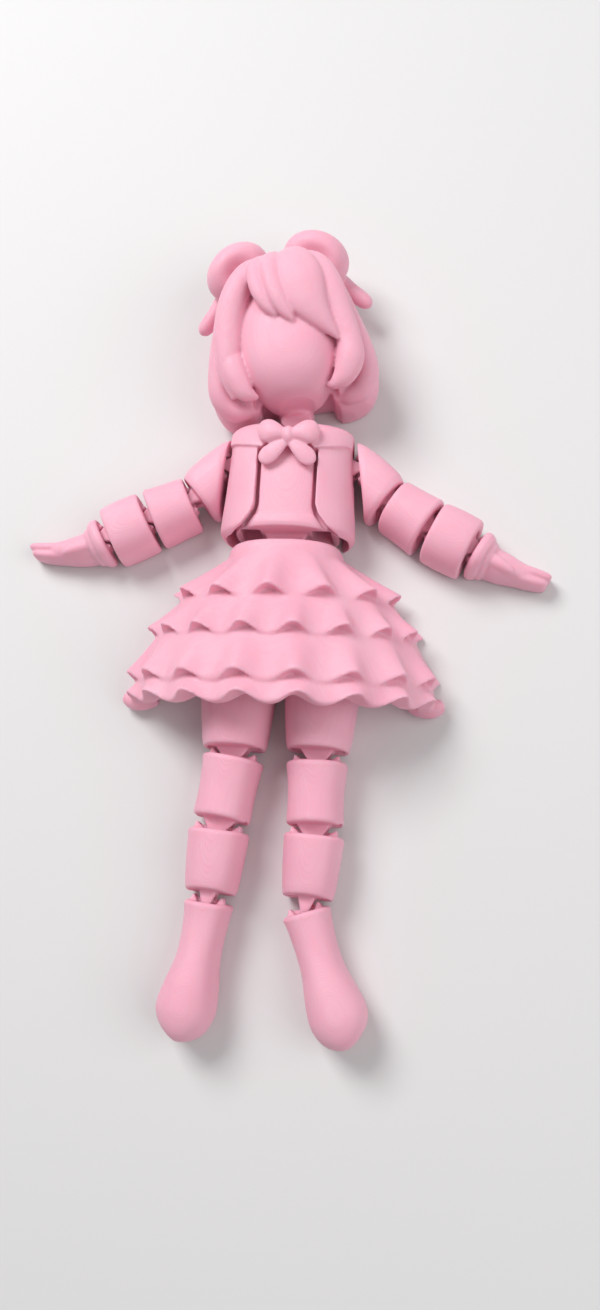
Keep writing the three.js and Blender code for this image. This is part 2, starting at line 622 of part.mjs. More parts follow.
// Bodice with a raised band at its hem, seams beside the jacket's edges and
// pockets beside the waist tongue
function bodiceBody() {
  const top = JACKET_DEPTH - BODICE_INSET;
  const bandTop = BODICE_HEM + BODICE_BAND.height;
  const bandDepth = top - BODICE_BAND.lift;
  const cloth = crossSections([
    [TORSO_TOP - 1.2, BODICE_HALF_WIDTH, top - 2.6],
    [4, BODICE_HALF_WIDTH, top],
    [-8, BODICE_HALF_WIDTH, top - 0.3],
    [BODICE_HEM, BODICE_HALF_WIDTH, top - 0.9],
  ]);
  const band = crossSections([
    [bandTop + 0.6, BODICE_HALF_WIDTH - 0.2, bandDepth + 0.6],
    [bandTop, BODICE_HALF_WIDTH, bandDepth + 1.4],
    [BODICE_HEM + 1, BODICE_HALF_WIDTH, bandDepth + 1.5],
    [BODICE_HEM, BODICE_HALF_WIDTH, bandDepth + 1],
  ]);
  let solid = cloth.add(band);
  for (const side of [-1, 1]) {
    const outer = jacketEdge(side, SEAM_WIDTH * 0.3).slice(0, 4);
    const inner = jacketEdge(side, -SEAM_WIDTH * 0.7).slice(0, 4).reverse();
    const seam = toSolid(prism([...outer, ...inner], top - SEAM_DEPTH, JACKET_DEPTH + 2));
    const pocket = toSolid(prism([
      [side * BODICE_POCKET.inner, BODICE_HEM - 1],
      [side * BODICE_POCKET.outer, BODICE_HEM - 1],
      [side * BODICE_POCKET.outer, BODICE_HEM + BODICE_POCKET.height],
      [side * BODICE_POCKET.inner, BODICE_HEM + BODICE_POCKET.height],
    ], BODICE_POCKET.back, BODICE_POCKET.front));
    solid = solid.subtract(seam).subtract(pocket);
  }
  return solid;
}

function collarBody() {
  const flaps = [-1, 1].map((side) => {
    const corners = COLLAR_FLAP.map(([x, y]) => [side * x, y]);
    return toSolid(prism(corners, 4, JACKET_DEPTH + 3));
  });
  return crossSections(jacketRows.slice(0, 4), COLLAR_LIFT).intersect(joined(flaps));
}

function torsoBody() {
  const above = [[-20, TORSO_TOP], [20, TORSO_TOP], [20, TORSO_TOP + 6], [-20, TORSO_TOP + 6]];
  return jacketBody()
    .add(bodiceBody())
    .add(collarBody())
    .subtract(toSolid(prism(above, -1, JACKET_DEPTH + 6)));
}

function neckBow() {
  const { x, y, knot } = NECK_BOW;
  const parts = [toSolid(ellipsoid(x, y, JACKET_DEPTH + 0.9, ...knot, 10, 8))];
  for (const side of [-1, 1]) {
    for (const rows of [NECK_BOW_LOBE, NECK_BOW_TAIL]) {
      parts.push(strand(rows.map(([a, b, c, ...size]) => [
        x * side + a, y + b, JACKET_DEPTH + c, ...size,
      ]), side));
    }
  }
  return joined(parts);
}

const shoulderFrame = (side) => ({
  x: side * TORSO_HALF_WIDTH, y: SHOULDER_PLACE, turn: side * (90 + SHOULDER_SPLAY),
});

function torso() {
  let solid = torsoBody().add(neckBow());
  for (const side of [-1, 1]) {
    solid = withTongue(solid, SHOULDER_JOINT, shoulderFrame(side));
  }
  solid = withTongue(solid, WAIST_JOINT, { y: BODICE_HEM });
  return withClevis(solid, NECK_JOINT, { y: TORSO_TOP }, NECK_SIDE_PLAY);
}

// Skirt: four ruffled tiers on a solid back, hollow under the lowest one

function ruffleRing(size, tier, down) {
  const ring = [];
  for (let i = 0; i <= RUFFLE_STEPS; i += 1) {
    const a = (i / RUFFLE_STEPS) * Math.PI;
    const turn = tier.waves * (a - tier.phase * RAD);
    const wave = Math.cos(turn) + RUFFLE_SHARPNESS * Math.cos(2 * turn);
    const swell = RUFFLE_SWING * wave * down ** 1.4;
    const rise = RUFFLE_RISE * down * Math.abs(Math.cos(a)) ** 3;
    ring.push(new THREE.Vector3(
      (size.halfWidth + swell) * Math.cos(a),
      size.y + RUFFLE_LIFT * wave * down ** 2 + rise,
      (size.depth + swell) * Math.sin(a),
    ));
  }
  return ring;
}

// A tier starts inside the one above and ends in a waved hem
function tierBody(tier, i) {
  const above = i === 0
    ? { halfWidth: SKIRT_TOP_HALF_WIDTH, depth: SKIRT_TOP_DEPTH }
    : { halfWidth: TIERS[i - 1].halfWidth - TIER_OVERHANG, depth: TIERS[i - 1].depth - TIER_OVERHANG };
  const size = (down) => ({
    y: tier.from + (tier.to - tier.from) * down,
    halfWidth: above.halfWidth + (tier.halfWidth - above.halfWidth) * down,
    depth: above.depth + (tier.depth - above.depth) * down,
  });
  return loft([0, 0.4, 0.75, 1].map((down) => ruffleRing(size(down), tier, down)));
}

function skirtBody() {
  const band = taperedBody([
    [0, SKIRT_TOP_HALF_WIDTH, SKIRT_TOP_DEPTH],
    [2, SKIRT_TOP_HALF_WIDTH + SKIRT_BAND_FLARE, SKIRT_TOP_DEPTH + 0.3],
    [6, SKIRT_TOP_HALF_WIDTH + 2 * SKIRT_BAND_FLARE, SKIRT_TOP_DEPTH],
  ]);
  const last = TIERS[TIERS.length - 1];
  const bellRing = (y, wall) => Array.from({ length: BELL_STEPS + 1 }, (_, i) => {
    const a = (i / BELL_STEPS) * Math.PI;
    const z = (last.depth - wall) * Math.sin(a);
    return new THREE.Vector3((last.halfWidth - wall) * Math.cos(a), y, z < 2 ? -2 : z);
  });
  const bell = loft([
    bellRing(-SKIRT_CORE_LENGTH, BELL_WALL),
    bellRing(last.to - BELL_FLARE, BELL_WALL - BELL_FLARE),
  ]);
  let solid = joined([band, ...TIERS.map(tierBody)]).subtract(bell);
  for (const side of [-1, 1]) {
    solid = solid.add(strand(CORNER_CURL, side));
    solid = withTongue(solid, HIP_JOINT, { x: side * HIP_SPREAD, y: -SKIRT_CORE_LENGTH });
  }
  return withClevis(solid, WAIST_JOINT);
}

// Head: blank face under a fringe, side locks curling to the chin, bow behind

function hairBody() {
  const hair = crossSections([...HAIR_OUTLINE].reverse(), 0, 14);
  const face = toSolid(prism(FACE_OPENING, FACE_OPENING_FLOOR, 40));
  const bothSides = (points, low, high) => toSolid(prism([
    ...points, ...points.map(([x, y]) => [-x, y]).reverse(),
  ], low, high));
  return hair
    .subtract(face)
    .subtract(bothSides(CHIN_OPENING, CHIN_OPENING_FLOOR, FACE_OPENING_FLOOR + 0.1))
    .subtract(bothSides(NECK_OPENING, -2, NECK_OPENING_DEPTH));
}

function hairBow(side) {
  const { x, y, z, length, width, depth, fall } = HAIR_BOW;
  const place = (geometry, dx = 0, dy = 0, dz = 0) => {
    geometry.rotateZ(-side * fall * RAD);
    geometry.translate(side * (x + dx), y + dy, z + dz);
    return toSolid(geometry);
  };
  const lobe = place(ellipsoid(0, 0, 0, length, width, depth, 14, 8));
  const shape = HAIR_BOW_HOLLOW;
  const hollow = ellipsoid(0, 0, 0, length * shape.length, width * shape.width, depth * shape.depth, 12, 8);
  return lobe
    .subtract(place(hollow, shape.x, shape.y, depth))
    .add(strand(HAIR_BOW_TAIL, side));
}

function headBody() {
  const face = loft(FACE_OUTLINE.map(([y, halfWidth, depth]) => section({
    y, halfWidth, depth, base: FACE_BASE, steps: 12,
  })).reverse());
  const sides = [-1, 1].flatMap((side) => [strand(SIDE_STRAND, side), hairBow(side)]);
  const whole = joined([hairBody(), face, ...sides, ...STRANDS.map((rows) => strand(rows))]);
  const neck = { halfWidth: NECK_HALF_WIDTH, depth: NECK_DEPTH, backInset: 2 };
  return whole
    .translate([HEAD_ASIDE, 0, 0])
    .add(loft([section({ y: NECK_TOP, ...neck }), section({ y: NECK_END, inset: 0.3, ...neck })]));
}

function head() {
  return withTongue(headBody(), NECK_JOINT, { y: 0 });
}

// The doll: the torso carries the head, the arms and the skirt, and the skirt
// carries the legs

const doll = new THREE.Group();
doll.add(toMesh('torso', torso()));

const headGroup = new THREE.Group();
headGroup.position.set(POSE.neck.shift, TORSO_TOP, 0);
headGroup.rotation.z = POSE.neck.lean * RAD;
const headMesh = toMesh('head', head());
headMesh.position.y = NECK_JOINT.gap + POSE.neck.pull;
headGroup.add(headMesh);
doll.add(headGroup);

for (const [name, side] of [['right', -1], ['left', 1]]) {
  const shoulder = hung(SHOULDER_JOINT, shoulderFrame(side), POSE[name].shoulder);
  shoulder.add(arm(name, side, POSE[name]));
  doll.add(shoulder);
}

const skirt = hung(WAIST_JOINT, { y: BODICE_HEM }, POSE.waist);
skirt.add(toMesh('skirt', skirtBody()));
doll.add(skirt);
for (const [name, side] of [['right', -1], ['left', 1]]) {
  const hip = hung(HIP_JOINT, { x: side * HIP_SPREAD, y: -SKIRT_CORE_LENGTH }, POSE[name].hip);
  hip.add(leg(name, POSE[name]));
  skirt.add(hip);
}

export default doll;
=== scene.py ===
"""Articulated doll, printed in place in one pink plastic, lying on its back.

Sizes are in millimetres until a piece is cast, and each piece is then placed
in its mesh in metres. A piece's own frame has its joint at x = 0, y = 0, its
far end towards -Y and its flat back at z = 0.
"""

import logging
import math
from dataclasses import dataclass, field, replace
from enum import Enum
from typing import Any, Iterable, Sequence

import bmesh
import bpy
from mathutils import Matrix, Vector


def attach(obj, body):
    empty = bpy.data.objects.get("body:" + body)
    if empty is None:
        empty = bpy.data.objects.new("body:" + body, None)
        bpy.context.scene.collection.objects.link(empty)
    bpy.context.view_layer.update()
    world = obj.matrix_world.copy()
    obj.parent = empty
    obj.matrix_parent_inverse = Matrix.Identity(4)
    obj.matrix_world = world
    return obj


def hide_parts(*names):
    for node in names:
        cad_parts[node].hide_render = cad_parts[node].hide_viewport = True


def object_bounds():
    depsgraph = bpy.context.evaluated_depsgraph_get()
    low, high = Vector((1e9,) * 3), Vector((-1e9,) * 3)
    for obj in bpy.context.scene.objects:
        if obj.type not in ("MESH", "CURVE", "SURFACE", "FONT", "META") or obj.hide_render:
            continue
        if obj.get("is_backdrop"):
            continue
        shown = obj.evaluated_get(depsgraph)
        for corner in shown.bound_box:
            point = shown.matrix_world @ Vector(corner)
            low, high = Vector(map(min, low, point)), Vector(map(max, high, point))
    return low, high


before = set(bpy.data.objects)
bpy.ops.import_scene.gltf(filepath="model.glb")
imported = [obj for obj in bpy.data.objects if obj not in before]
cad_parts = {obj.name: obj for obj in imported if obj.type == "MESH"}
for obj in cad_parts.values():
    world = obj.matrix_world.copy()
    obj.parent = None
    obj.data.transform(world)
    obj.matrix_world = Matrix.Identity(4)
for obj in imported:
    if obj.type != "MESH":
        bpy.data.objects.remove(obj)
CAD_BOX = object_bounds()

log = logging.getLogger("doll")

MILLIMETRE = 0.001
Row = Sequence[float]
Rows = Sequence[Row]
Pair = tuple[float, float]
Triple = tuple[float, float, float]
Ring = list[Vector]
Body = bpy.types.Object
Material = bpy.types.Material


class Side(Enum):
    """The doll's two sides, as the sign of X."""

    RIGHT = -1
    LEFT = 1


class Join(Enum):
    """What a boolean does with its second body."""

    CUT = "DIFFERENCE"
    MEET = "INTERSECT"
    ADD = "UNION"


# Node trees


class Value:
    """A socket that node maths is written with as Python expressions."""

    def __init__(self, tree: "Tree", socket: bpy.types.NodeSocket) -> None:
        """Wrap a socket.

        Args:
            tree: the tree the socket belongs to.
            socket: the output socket.
        """
        self.tree = tree
        self.socket = socket

    def _math(self, operation: str, *values: Any) -> "Value":
        """Add one Math node and return its result."""
        return self.tree.node("ShaderNodeMath", {"operation": operation}, dict(enumerate(values)))["Value"]

    def __add__(self, other: Any) -> "Value":
        """Sum."""
        return self._math("ADD", self, other)

    __radd__ = __add__

    def __sub__(self, other: Any) -> "Value":
        """Difference."""
        return self._math("SUBTRACT", self, other)

    def __rsub__(self, other: Any) -> "Value":
        """Difference from a number."""
        return self._math("SUBTRACT", other, self)

    def __mul__(self, other: Any) -> "Value":
        """Product."""
        return self._math("MULTIPLY", self, other)

    __rmul__ = __mul__

    def __truediv__(self, other: Any) -> "Value":
        """Quotient."""
        return self._math("DIVIDE", self, other)

    def __pow__(self, other: Any) -> "Value":
        """Power."""
        return self._math("POWER", self, other)

    def floor(self) -> "Value":
        """Whole number below."""
        return self._math("FLOOR", self)

    def abs(self) -> "Value":
        """Size without sign."""
        return self._math("ABSOLUTE", self)

    def above(self, low: float) -> "Value":
        """The value, or a number where it is under that."""
        return self._math("MAXIMUM", self, low)

    def cos(self) -> "Value":
        """Cosine of radians."""
        return self._math("COSINE", self)

    def sin(self) -> "Value":
        """Sine of radians."""
        return self._math("SINE", self)

    def atan2(self, other: Any) -> "Value":
        """Angle of the point (other, self)."""
        return self._math("ARCTAN2", self, other)

    def ramp(self, low: float, high: float) -> "Value":
        """Smooth step from 0 at low to 1 at high.

        Args:
            low: where it starts.
            high: where it ends.

        Returns:
            The step.
        """
        settings = {"interpolation_type": "SMOOTHSTEP"}
        values = {"Value": self, "From Min": low, "From Max": high, "To Min": 0.0, "To Max": 1.0}
        return self.tree.node("ShaderNodeMapRange", settings, values)["Result"]


class Tree:
    """A node tree built by one method."""

    def __init__(self, nodes: bpy.types.NodeTree) -> None:
        """Wrap a node tree.

        Args:
            nodes: the tree to build in.
        """
        self.nodes = nodes

    def node(self, kind: str, settings: dict[str, Any] | None = None,
             values: dict[Any, Any] | None = None) -> dict[str, Value]:
        """Add one node.

        Args:
            kind: the node's type.
            settings: its properties, set first.
            values: numbers or links for its input sockets, by name or place.

        Returns:
            Its shown outputs by name.
        """
        made = self.nodes.nodes.new(kind)
        for name, setting in (settings or {}).items():
            setattr(made, name, setting)
        for key, value in (values or {}).items():
            socket = made.inputs[key]
            if isinstance(value, Value):
                self.nodes.links.new(value.socket, socket)
            else:
                socket.default_value = value
        return {out.name: Value(self, out) for out in made.outputs if out.enabled}

    def noise(self, place: Value, scale: float, detail: float, roughness: float) -> Value:
        """Add a noise texture and return its factor."""
        values = {"Vector": place, "Scale": scale, "Detail": detail, "Roughness": roughness}
        return self.node("ShaderNodeTexNoise", values=values)["Fac"]


# Finishes


def blank_material(name: str) -> tuple[Material, Tree]:
    """Make a material without nodes.

    Args:
        name: its name.

    Returns:
        The material and its tree.
    """
    material = bpy.data.materials.new(name)
    material.use_nodes = True
    material.node_tree.nodes.clear()
    return material, Tree(material.node_tree)


@dataclass(frozen=True)
class PrintedPlastic:
    """Matte pink filament with fine layer contours.

    The layer's height is in metres, and the reliefs are shares of it.
    """

    name: str = "printed_pink_plastic"
    pale: Triple = (0.865, 0.455, 0.565)
    deep: Triple = (0.83, 0.37, 0.49)
    cloud_scale: float = 70.0
    cloud_detail: float = 3.0
    cloud_roughness: float = 0.5
    cloud_range: Pair = (0.3, 0.75)
    cloud_tone: float = 0.5
    layer_tone: float = 0.2
    grain_scale: float = 1400.0
    grain_detail: float = 2.0
    grain_roughness: float = 0.6
    layer: float = 0.00013
    waviness: float = 0.6
    terrace: float = 0.5
    terrace_edge: Pair = (0.72, 0.98)
    facing_range: Pair = (0.55, 0.97)
    layer_relief: float = 0.12
    grain_relief: float = 0.1
    bump: float = 0.55
    roughness: float = 0.46
    roughness_by_grain: float = 0.12
    roughness_by_layer: float = 0.05
    ior: float = 1.46
    glow_weight: float = 0.4
    glow_radius: Triple = (1.0, 0.35, 0.4)
    glow_scale: float = 0.0025

    def material(self) -> Material:
        """Build the material.

        Returns:
            The finished material.
        """
        material, tree = blank_material(self.name)
        place = tree.node("ShaderNodeTexCoord")
        height = tree.node("ShaderNodeSeparateXYZ", values={0: place["Object"]})["Z"]
        facing = tree.node("ShaderNodeSeparateXYZ", values={0: place["Normal"]})["Z"].abs()
        cloud = tree.noise(place["Object"], self.cloud_scale, self.cloud_detail, self.cloud_roughness)
        grain = tree.noise(place["Object"], self.grain_scale, self.grain_detail, self.grain_roughness)
        layers = height / self.layer + cloud * self.waviness
        whole = layers.floor()
        part = layers - whole
        step = part.ramp(*self.terrace_edge) - part
        flat = facing.ramp(*self.facing_range)
        shift = tree.node("ShaderNodeTexWhiteNoise", {"noise_dimensions": "1D"}, {"W": whole})["Value"]
        relief = step * (flat * (self.layer * self.terrace)) + shift * (self.layer * self.layer_relief)
        relief = relief + grain * (self.layer * self.grain_relief)
        bump = tree.node("ShaderNodeBump", values={"Strength": self.bump, "Distance": 1.0, "Height": relief})
        tone = tree.node("ShaderNodeMix", {"data_type": "RGBA"}, {
            0: cloud.ramp(*self.cloud_range) * self.cloud_tone + shift * self.layer_tone,
            6: (*self.pale, 1.0),
            7: (*self.deep, 1.0),
        })["Result"]
        shade = tree.node("ShaderNodeBsdfPrincipled", values={
            "Base Color": tone,
            "Roughness": self.roughness + grain * self.roughness_by_grain + shift * self.roughness_by_layer,
            "IOR": self.ior,
            "Subsurface Weight": self.glow_weight,
            "Subsurface Radius": self.glow_radius,
            "Subsurface Scale": self.glow_scale,
            "Normal": bump["Normal"],
        })
        tree.node("ShaderNodeOutputMaterial", values={"Surface": shade["BSDF"]})
        return material


@dataclass(frozen=True)
class PaleFloor:
    """Plain pale paper under the doll."""

    name: str = "pale_floor"
    colour: Triple = (0.72, 0.71, 0.71)
    shade: float = 0.96
    cloud_scale: float = 6.0
    cloud_detail: float = 2.0
    cloud_roughness: float = 0.5
    cloud_tone: float = 0.3
    roughness: float = 0.85

    def material(self) -> Material:
        """Build the material.

        Returns:
            The finished material.
        """
        material, tree = blank_material(self.name)
        place = tree.node("ShaderNodeTexCoord")["Object"]
        cloud = tree.noise(place, self.cloud_scale, self.cloud_detail, self.cloud_roughness)
        colour = tree.node("ShaderNodeMix", {"data_type": "RGBA"}, {
            0: cloud * self.cloud_tone,
            6: (*self.colour, 1.0),
            7: (*[c * self.shade for c in self.colour], 1.0),
        })["Result"]
        values = {"Base Color": colour, "Roughness": self.roughness}
        shade = tree.node("ShaderNodeBsdfPrincipled", values=values)
        tree.node("ShaderNodeOutputMaterial", values={"Surface": shade["BSDF"]})
        return material


# Forms

# Where a section's crown starts, as a share of its height, and how square it is
CROWN_START = 0.36
CROWN_POWER = 0.86
CROWN_STEPS = 40
# How much of the half width the rounded corner at the back takes
BACK_CORNER = 0.16
CORNER_ANGLES = [math.radians(a) for a in (90, 72, 54, 36, 18)]
# A height over every piece, for tools that cut from the front
OVER_ALL = 40.0


def between(a: float, b: float, c: float, d: float, t: float) -> float:
    """Value at t from b to c on the smooth curve through a, b, c and d.

    Args:
        a: the value before b.
        b: the value at t = 0.
        c: the value at t = 1.
        d: the value after c.
        t: how far along it is.

    Returns:
        The value.
    """
    square = (2 * a - 5 * b + 4 * c - d) * t * t
    cube = (3 * b - a - 3 * c + d) * t ** 3
    return 0.5 * (2 * b + (c - a) * t + square + cube)


def smooth_rows(rows: Rows, steps: int = 6) -> list[list[float]]:
    """Put a smooth curve through rows of sizes.

    Args:
        rows: the rows, each with as many numbers.
        steps: how many rows come out for each gap.

    Returns:
        The finer rows.
    """
    fine: list[list[float]] = []
    for i in range(len(rows) - 1):
        before = rows[max(i - 1, 0)]
        after = rows[min(i + 2, len(rows) - 1)]
        for s in range(steps):
            columns = zip(before, rows[i], rows[i + 1], after)
            fine.append([between(*column, s / steps) for column in columns])
    fine.append(list(rows[-1]))
    return fine


def on_side(side: float, points: Rows) -> list[Row]:
    """Points given for the doll's left, on the side asked for."""
    return [(side * x, *rest) for x, *rest in points]


def section(y: float, half: float, depth: float, x: float = 0.0, base: float = 0.0, inset: float = 0.0,
            back: float | None = None, turn: float = 0.0, slope: float = 0.0) -> Ring:
    """One D-shaped section with a flat back.

    Args:
        y: where it stands along the piece.
        half: half its width.
        depth: height of its crown above the bed.
        x: sideways shift.
        base: height of its flat back.
        inset: how much smaller it is all round, for a rim.
        back: how far the flat back is lifted, like inset if left out.
        turn: turn about Z in degrees.
        slope: how far the crown leans towards +Y.

    Returns:
        The ring, from the back corner on +X over the crown to the other.
    """
    lift = inset if back is None else back
    w = half - inset
    shoulder = (depth - base) * CROWN_START
    top = depth - base - inset
    corner = []
    for a in CORNER_ANGLES:
        reach = 1 - BACK_CORNER + BACK_CORNER * math.cos(a)
        corner.append((w * reach, lift + (shoulder - lift) * (1 - math.sin(a))))
    crown = []
    for i in range(CROWN_STEPS + 1):
        a = math.pi * i / CROWN_STEPS
        c, s = math.cos(a), math.sin(a)
        across = w * math.copysign(abs(c) ** CROWN_POWER, c)
        crown.append((across, shoulder + (top - shoulder) * s ** CROWN_POWER))
    flat = corner + crown + list(reversed(on_side(-1, corner)))
    cos, sin = math.cos(math.radians(turn)), math.sin(math.radians(turn))
    ring = []
    for px, pz in flat:
        leaned = slope * max(0.0, pz / depth) ** 2
        ring.append(Vector((x + px * cos, y + px * sin + leaned, base + pz)))
    return ring


# How much of the grain is pressed flat where a piece lies on the bed
BED_SHARE = 0.4
# Points nearer than this are one point
SAME_POINT = 1e-5


def mesh_of(work: bmesh.types.BMesh, name: str = "body") -> bpy.types.Mesh:
    """Turn a bmesh, used up, into a mesh.

    Args:
        work: the bmesh.
        name: the mesh's name.

    Returns:
        The mesh.
    """
    mesh = bpy.data.meshes.new(name)
    work.to_mesh(mesh)
    work.free()
    return mesh


class Workshop:
    """Makes bodies in millimetres and casts them into finished pieces."""

    def __init__(self, finish: Material) -> None:
        """Open a bench collection for bodies in work.

        Args:
            finish: the material of every piece.
        """
        self.finish = finish
        self.bench = bpy.data.collections.new("bench")
        bpy.context.scene.collection.children.link(self.bench)

    def body(self, mesh: bpy.types.Mesh) -> Body:
        """Put a mesh on the bench.

        Args:
            mesh: the mesh.

        Returns:
            The body that holds it.
        """
        made = bpy.data.objects.new("body", mesh)
        self.bench.objects.link(made)
        return made

    def span(self, made: Body) -> tuple[Row, Row]:
        """Lowest and highest corner of a body."""
        columns = list(zip(*[vertex.co for vertex in made.data.vertices]))
        return [min(column) for column in columns], [max(column) for column in columns]

    def from_bmesh(self, work: bmesh.types.BMesh) -> Body:
        """Make a body of a bmesh, with its faces out.

        Args:
            work: the bmesh, used up.

        Returns:
            The body.
        """
        bmesh.ops.remove_doubles(work, verts=work.verts, dist=SAME_POINT)
        bmesh.ops.recalc_face_normals(work, faces=work.faces)
        if work.calc_volume(signed=True) < 0:
            bmesh.ops.reverse_faces(work, faces=work.faces)
        return self.body(mesh_of(work))

    def loft(self, rings: Sequence[Ring]) -> Body:
        """Close a body through rings of as many points.

        Args:
            rings: the rings in order along the body.

        Returns:
            The closed body.
        """
        work = bmesh.new()
        rows = [[work.verts.new(p) for p in ring] for ring in rings]
        count = len(rings[0])
        for upper, lower in zip(rows, rows[1:]):
            for i in range(count):
                j = (i + 1) % count
                work.faces.new((upper[i], upper[j], lower[j], lower[i]))
        work.faces.new(rows[0])
        work.faces.new(rows[-1])
        return self.from_bmesh(work)

    def sections(self, rows: Rows, steps: int = 5, base: float = 0.0) -> Body:
        """Close a body through smoothed rows of place, half width and depth."""
        return self.loft([section(*row, base=base) for row in smooth_rows(rows, steps)])

    def prism(self, outline: Rows, low: float, high: float = OVER_ALL) -> Body:
        """Raise a flat outline from one height to another."""
        return self.loft([[Vector((*point, z)) for point in outline] for z in (low, high)])

    def lock(self, rows: Rows, side: float = 1, around: int = 28) -> Body:
        """Sweep an ellipse along a path, as a strand of hair or a ribbon.

        Args:
            rows: x, y, z, half width and half thickness along the path.
            side: -1 for the mirror image.
            around: points round the ellipse.

        Returns:
            The closed body.
        """
        fine = smooth_rows(on_side(side, rows), steps=5)
        spots = [Vector(row[:3]) for row in fine]
        angles = [math.tau * k / around for k in range(around)]
        rings = []
        for i, (spot, row) in enumerate(zip(spots, fine)):
            ahead = spots[min(i + 1, len(spots) - 1)]
            along = (ahead - spots[max(i - 1, 0)]).normalized()
            wide = along.cross(Vector((0, 0, 1))).normalized()
            thick = wide.cross(along)
            rings.append([
                spot + wide * (row[3] * math.cos(a)) + thick * (row[4] * math.sin(a))
                for a in angles
            ])
        return self.loft(rings)

    def rod(self, radius: float, half_length: float, stretch: float = 1.0, steps: int = 32) -> Body:
        """A round rod along X, stretched along Y if asked.

        Args:
            radius: its radius.
            half_length: half its length.
            stretch: how much longer it is along Y.
            steps: faces round it.

        Returns:
            The closed body.
        """
        work = bmesh.new()
        place = Matrix.Diagonal((1, stretch, 1, 1)) @ Matrix.Rotation(math.pi / 2, 4, "Y")
        bmesh.ops.create_cone(work, cap_ends=True, segments=steps, radius1=radius, radius2=radius,
                              depth=2 * half_length, matrix=place)
        return self.from_bmesh(work)

    def egg(self, centre: Row, radii: Row, steps: int = 40) -> Body:
        """An ellipsoid.

        Args:
            centre: its middle.
            radii: its three radii.
            steps: faces round it.

        Returns:
            The closed body.
        """
        work = bmesh.new()
        place = Matrix.Translation(centre) @ Matrix.Diagonal((*radii, 1))
        bmesh.ops.create_uvsphere(work, u_segments=steps, v_segments=steps // 2, radius=1, matrix=place)
        return self.from_bmesh(work)

    def dented(self, made: Body, centre: Row, size: Row, depth: float) -> Body:
        """Press a soft dent into the front of a body.

        Args:
            made: the body.
            centre: the middle of the dent across the body.
            size: its half width and half height.
            depth: how far it goes in.

        Returns:
            The same body.
        """
        for vertex in made.data.vertices:
            x, y, z = vertex.co
            if z > 0:
                away = ((x - centre[0]) / size[0]) ** 2 + ((y - centre[1]) / size[1]) ** 2
                vertex.co.z = z - min(z, depth) * math.exp(-away)
        return made

    def moved(self, made: Body, matrix: Matrix) -> Body:
        """Place a body by a matrix, in its mesh.

        Args:
            made: the body.
            matrix: its new place.

        Returns:
            The same body.
        """
        made.data.transform(matrix)
        if matrix.determinant() < 0:
            made.data.flip_normals()
        return made

    def joined(self, bodies: Iterable[Body]) -> Body:
        """Put bodies into one mesh without cutting them.

        Args:
            bodies: the bodies, used up.

        Returns:
            The body of them all.
        """
        work = bmesh.new()
        for made in bodies:
            work.from_mesh(made.data)
            bpy.data.objects.remove(made)
        return self.body(mesh_of(work))

    def applied(self, made: Body) -> Body:
        """Turn a body with modifiers into a plain one.

        Args:
            made: the body, used up.

        Returns:
            The plain body.
        """
        bpy.context.view_layer.update()
        shaped = made.evaluated_get(bpy.context.evaluated_depsgraph_get())
        mesh = bpy.data.meshes.new_from_object(shaped)
        bpy.data.objects.remove(made)
        return self.body(mesh)

    def combine(self, first: Body, second: Body, how: Join) -> Body:
        """Cut, meet or add two bodies.

        Args:
            first: the body that is changed.
            second: the body that changes it, used up.
            how: what is done.

        Returns:
            The new body.
        """
        step = first.modifiers.new("step", "BOOLEAN")
        step.operation = how.value
        step.solver = "EXACT"
        step.object = second
        result = self.applied(first)
        bpy.data.objects.remove(second)
        return result

    def cast(self, name: str, bodies: Iterable[Body], place: Matrix, voxel: float, passes: int) -> Body:
        """Fuse bodies into one printed piece in its place.

        Args:
            name: the CAD node and body that the piece stands for.
            bodies: overlapping closed bodies in the piece's frame.
            place: the piece's frame, in millimetres.
            voxel: the grain of the fused surface.
            passes: how often its edges are softened.

        Returns:
            The finished piece.
        """
        made = self.joined(bodies)
        grain = made.modifiers.new("grain", "REMESH")
        grain.mode = "VOXEL"
        grain.voxel_size = voxel
        grain.use_smooth_shade = True
        soften = made.modifiers.new("soften", "SMOOTH")
        soften.factor = 0.5
        soften.iterations = passes
        made = self.applied(made)
        bed = min(vertex.co.z for vertex in made.data.vertices) + voxel * BED_SHARE
        for vertex in made.data.vertices:
            vertex.co.z = max(vertex.co.z, bed)
        made.data.transform(Matrix.Translation((0, 0, -bed)))
        made.data.transform(Matrix.Scale(MILLIMETRE, 4) @ place)
        piece = bpy.data.objects.new(f"{name}_print", made.data)
        bpy.data.objects.remove(made)
        bpy.context.scene.collection.objects.link(piece)
        piece.data.materials.clear()
        piece.data.materials.append(self.finish)
        for face in piece.data.polygons:
            face.use_smooth = True
        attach(piece, name)
        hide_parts(name)
        log.info("%s: %d faces", piece.name, len(piece.data.polygons))
        return piece


# Joints

# Turns a side view drawn flat onto its edge: its X runs along Y, its Y along Z
ON_EDGE = Matrix(((0, 0, 1, 0), (1, 0, 0, 0), (0, 1, 0, 0), (0, 0, 0, 1)))


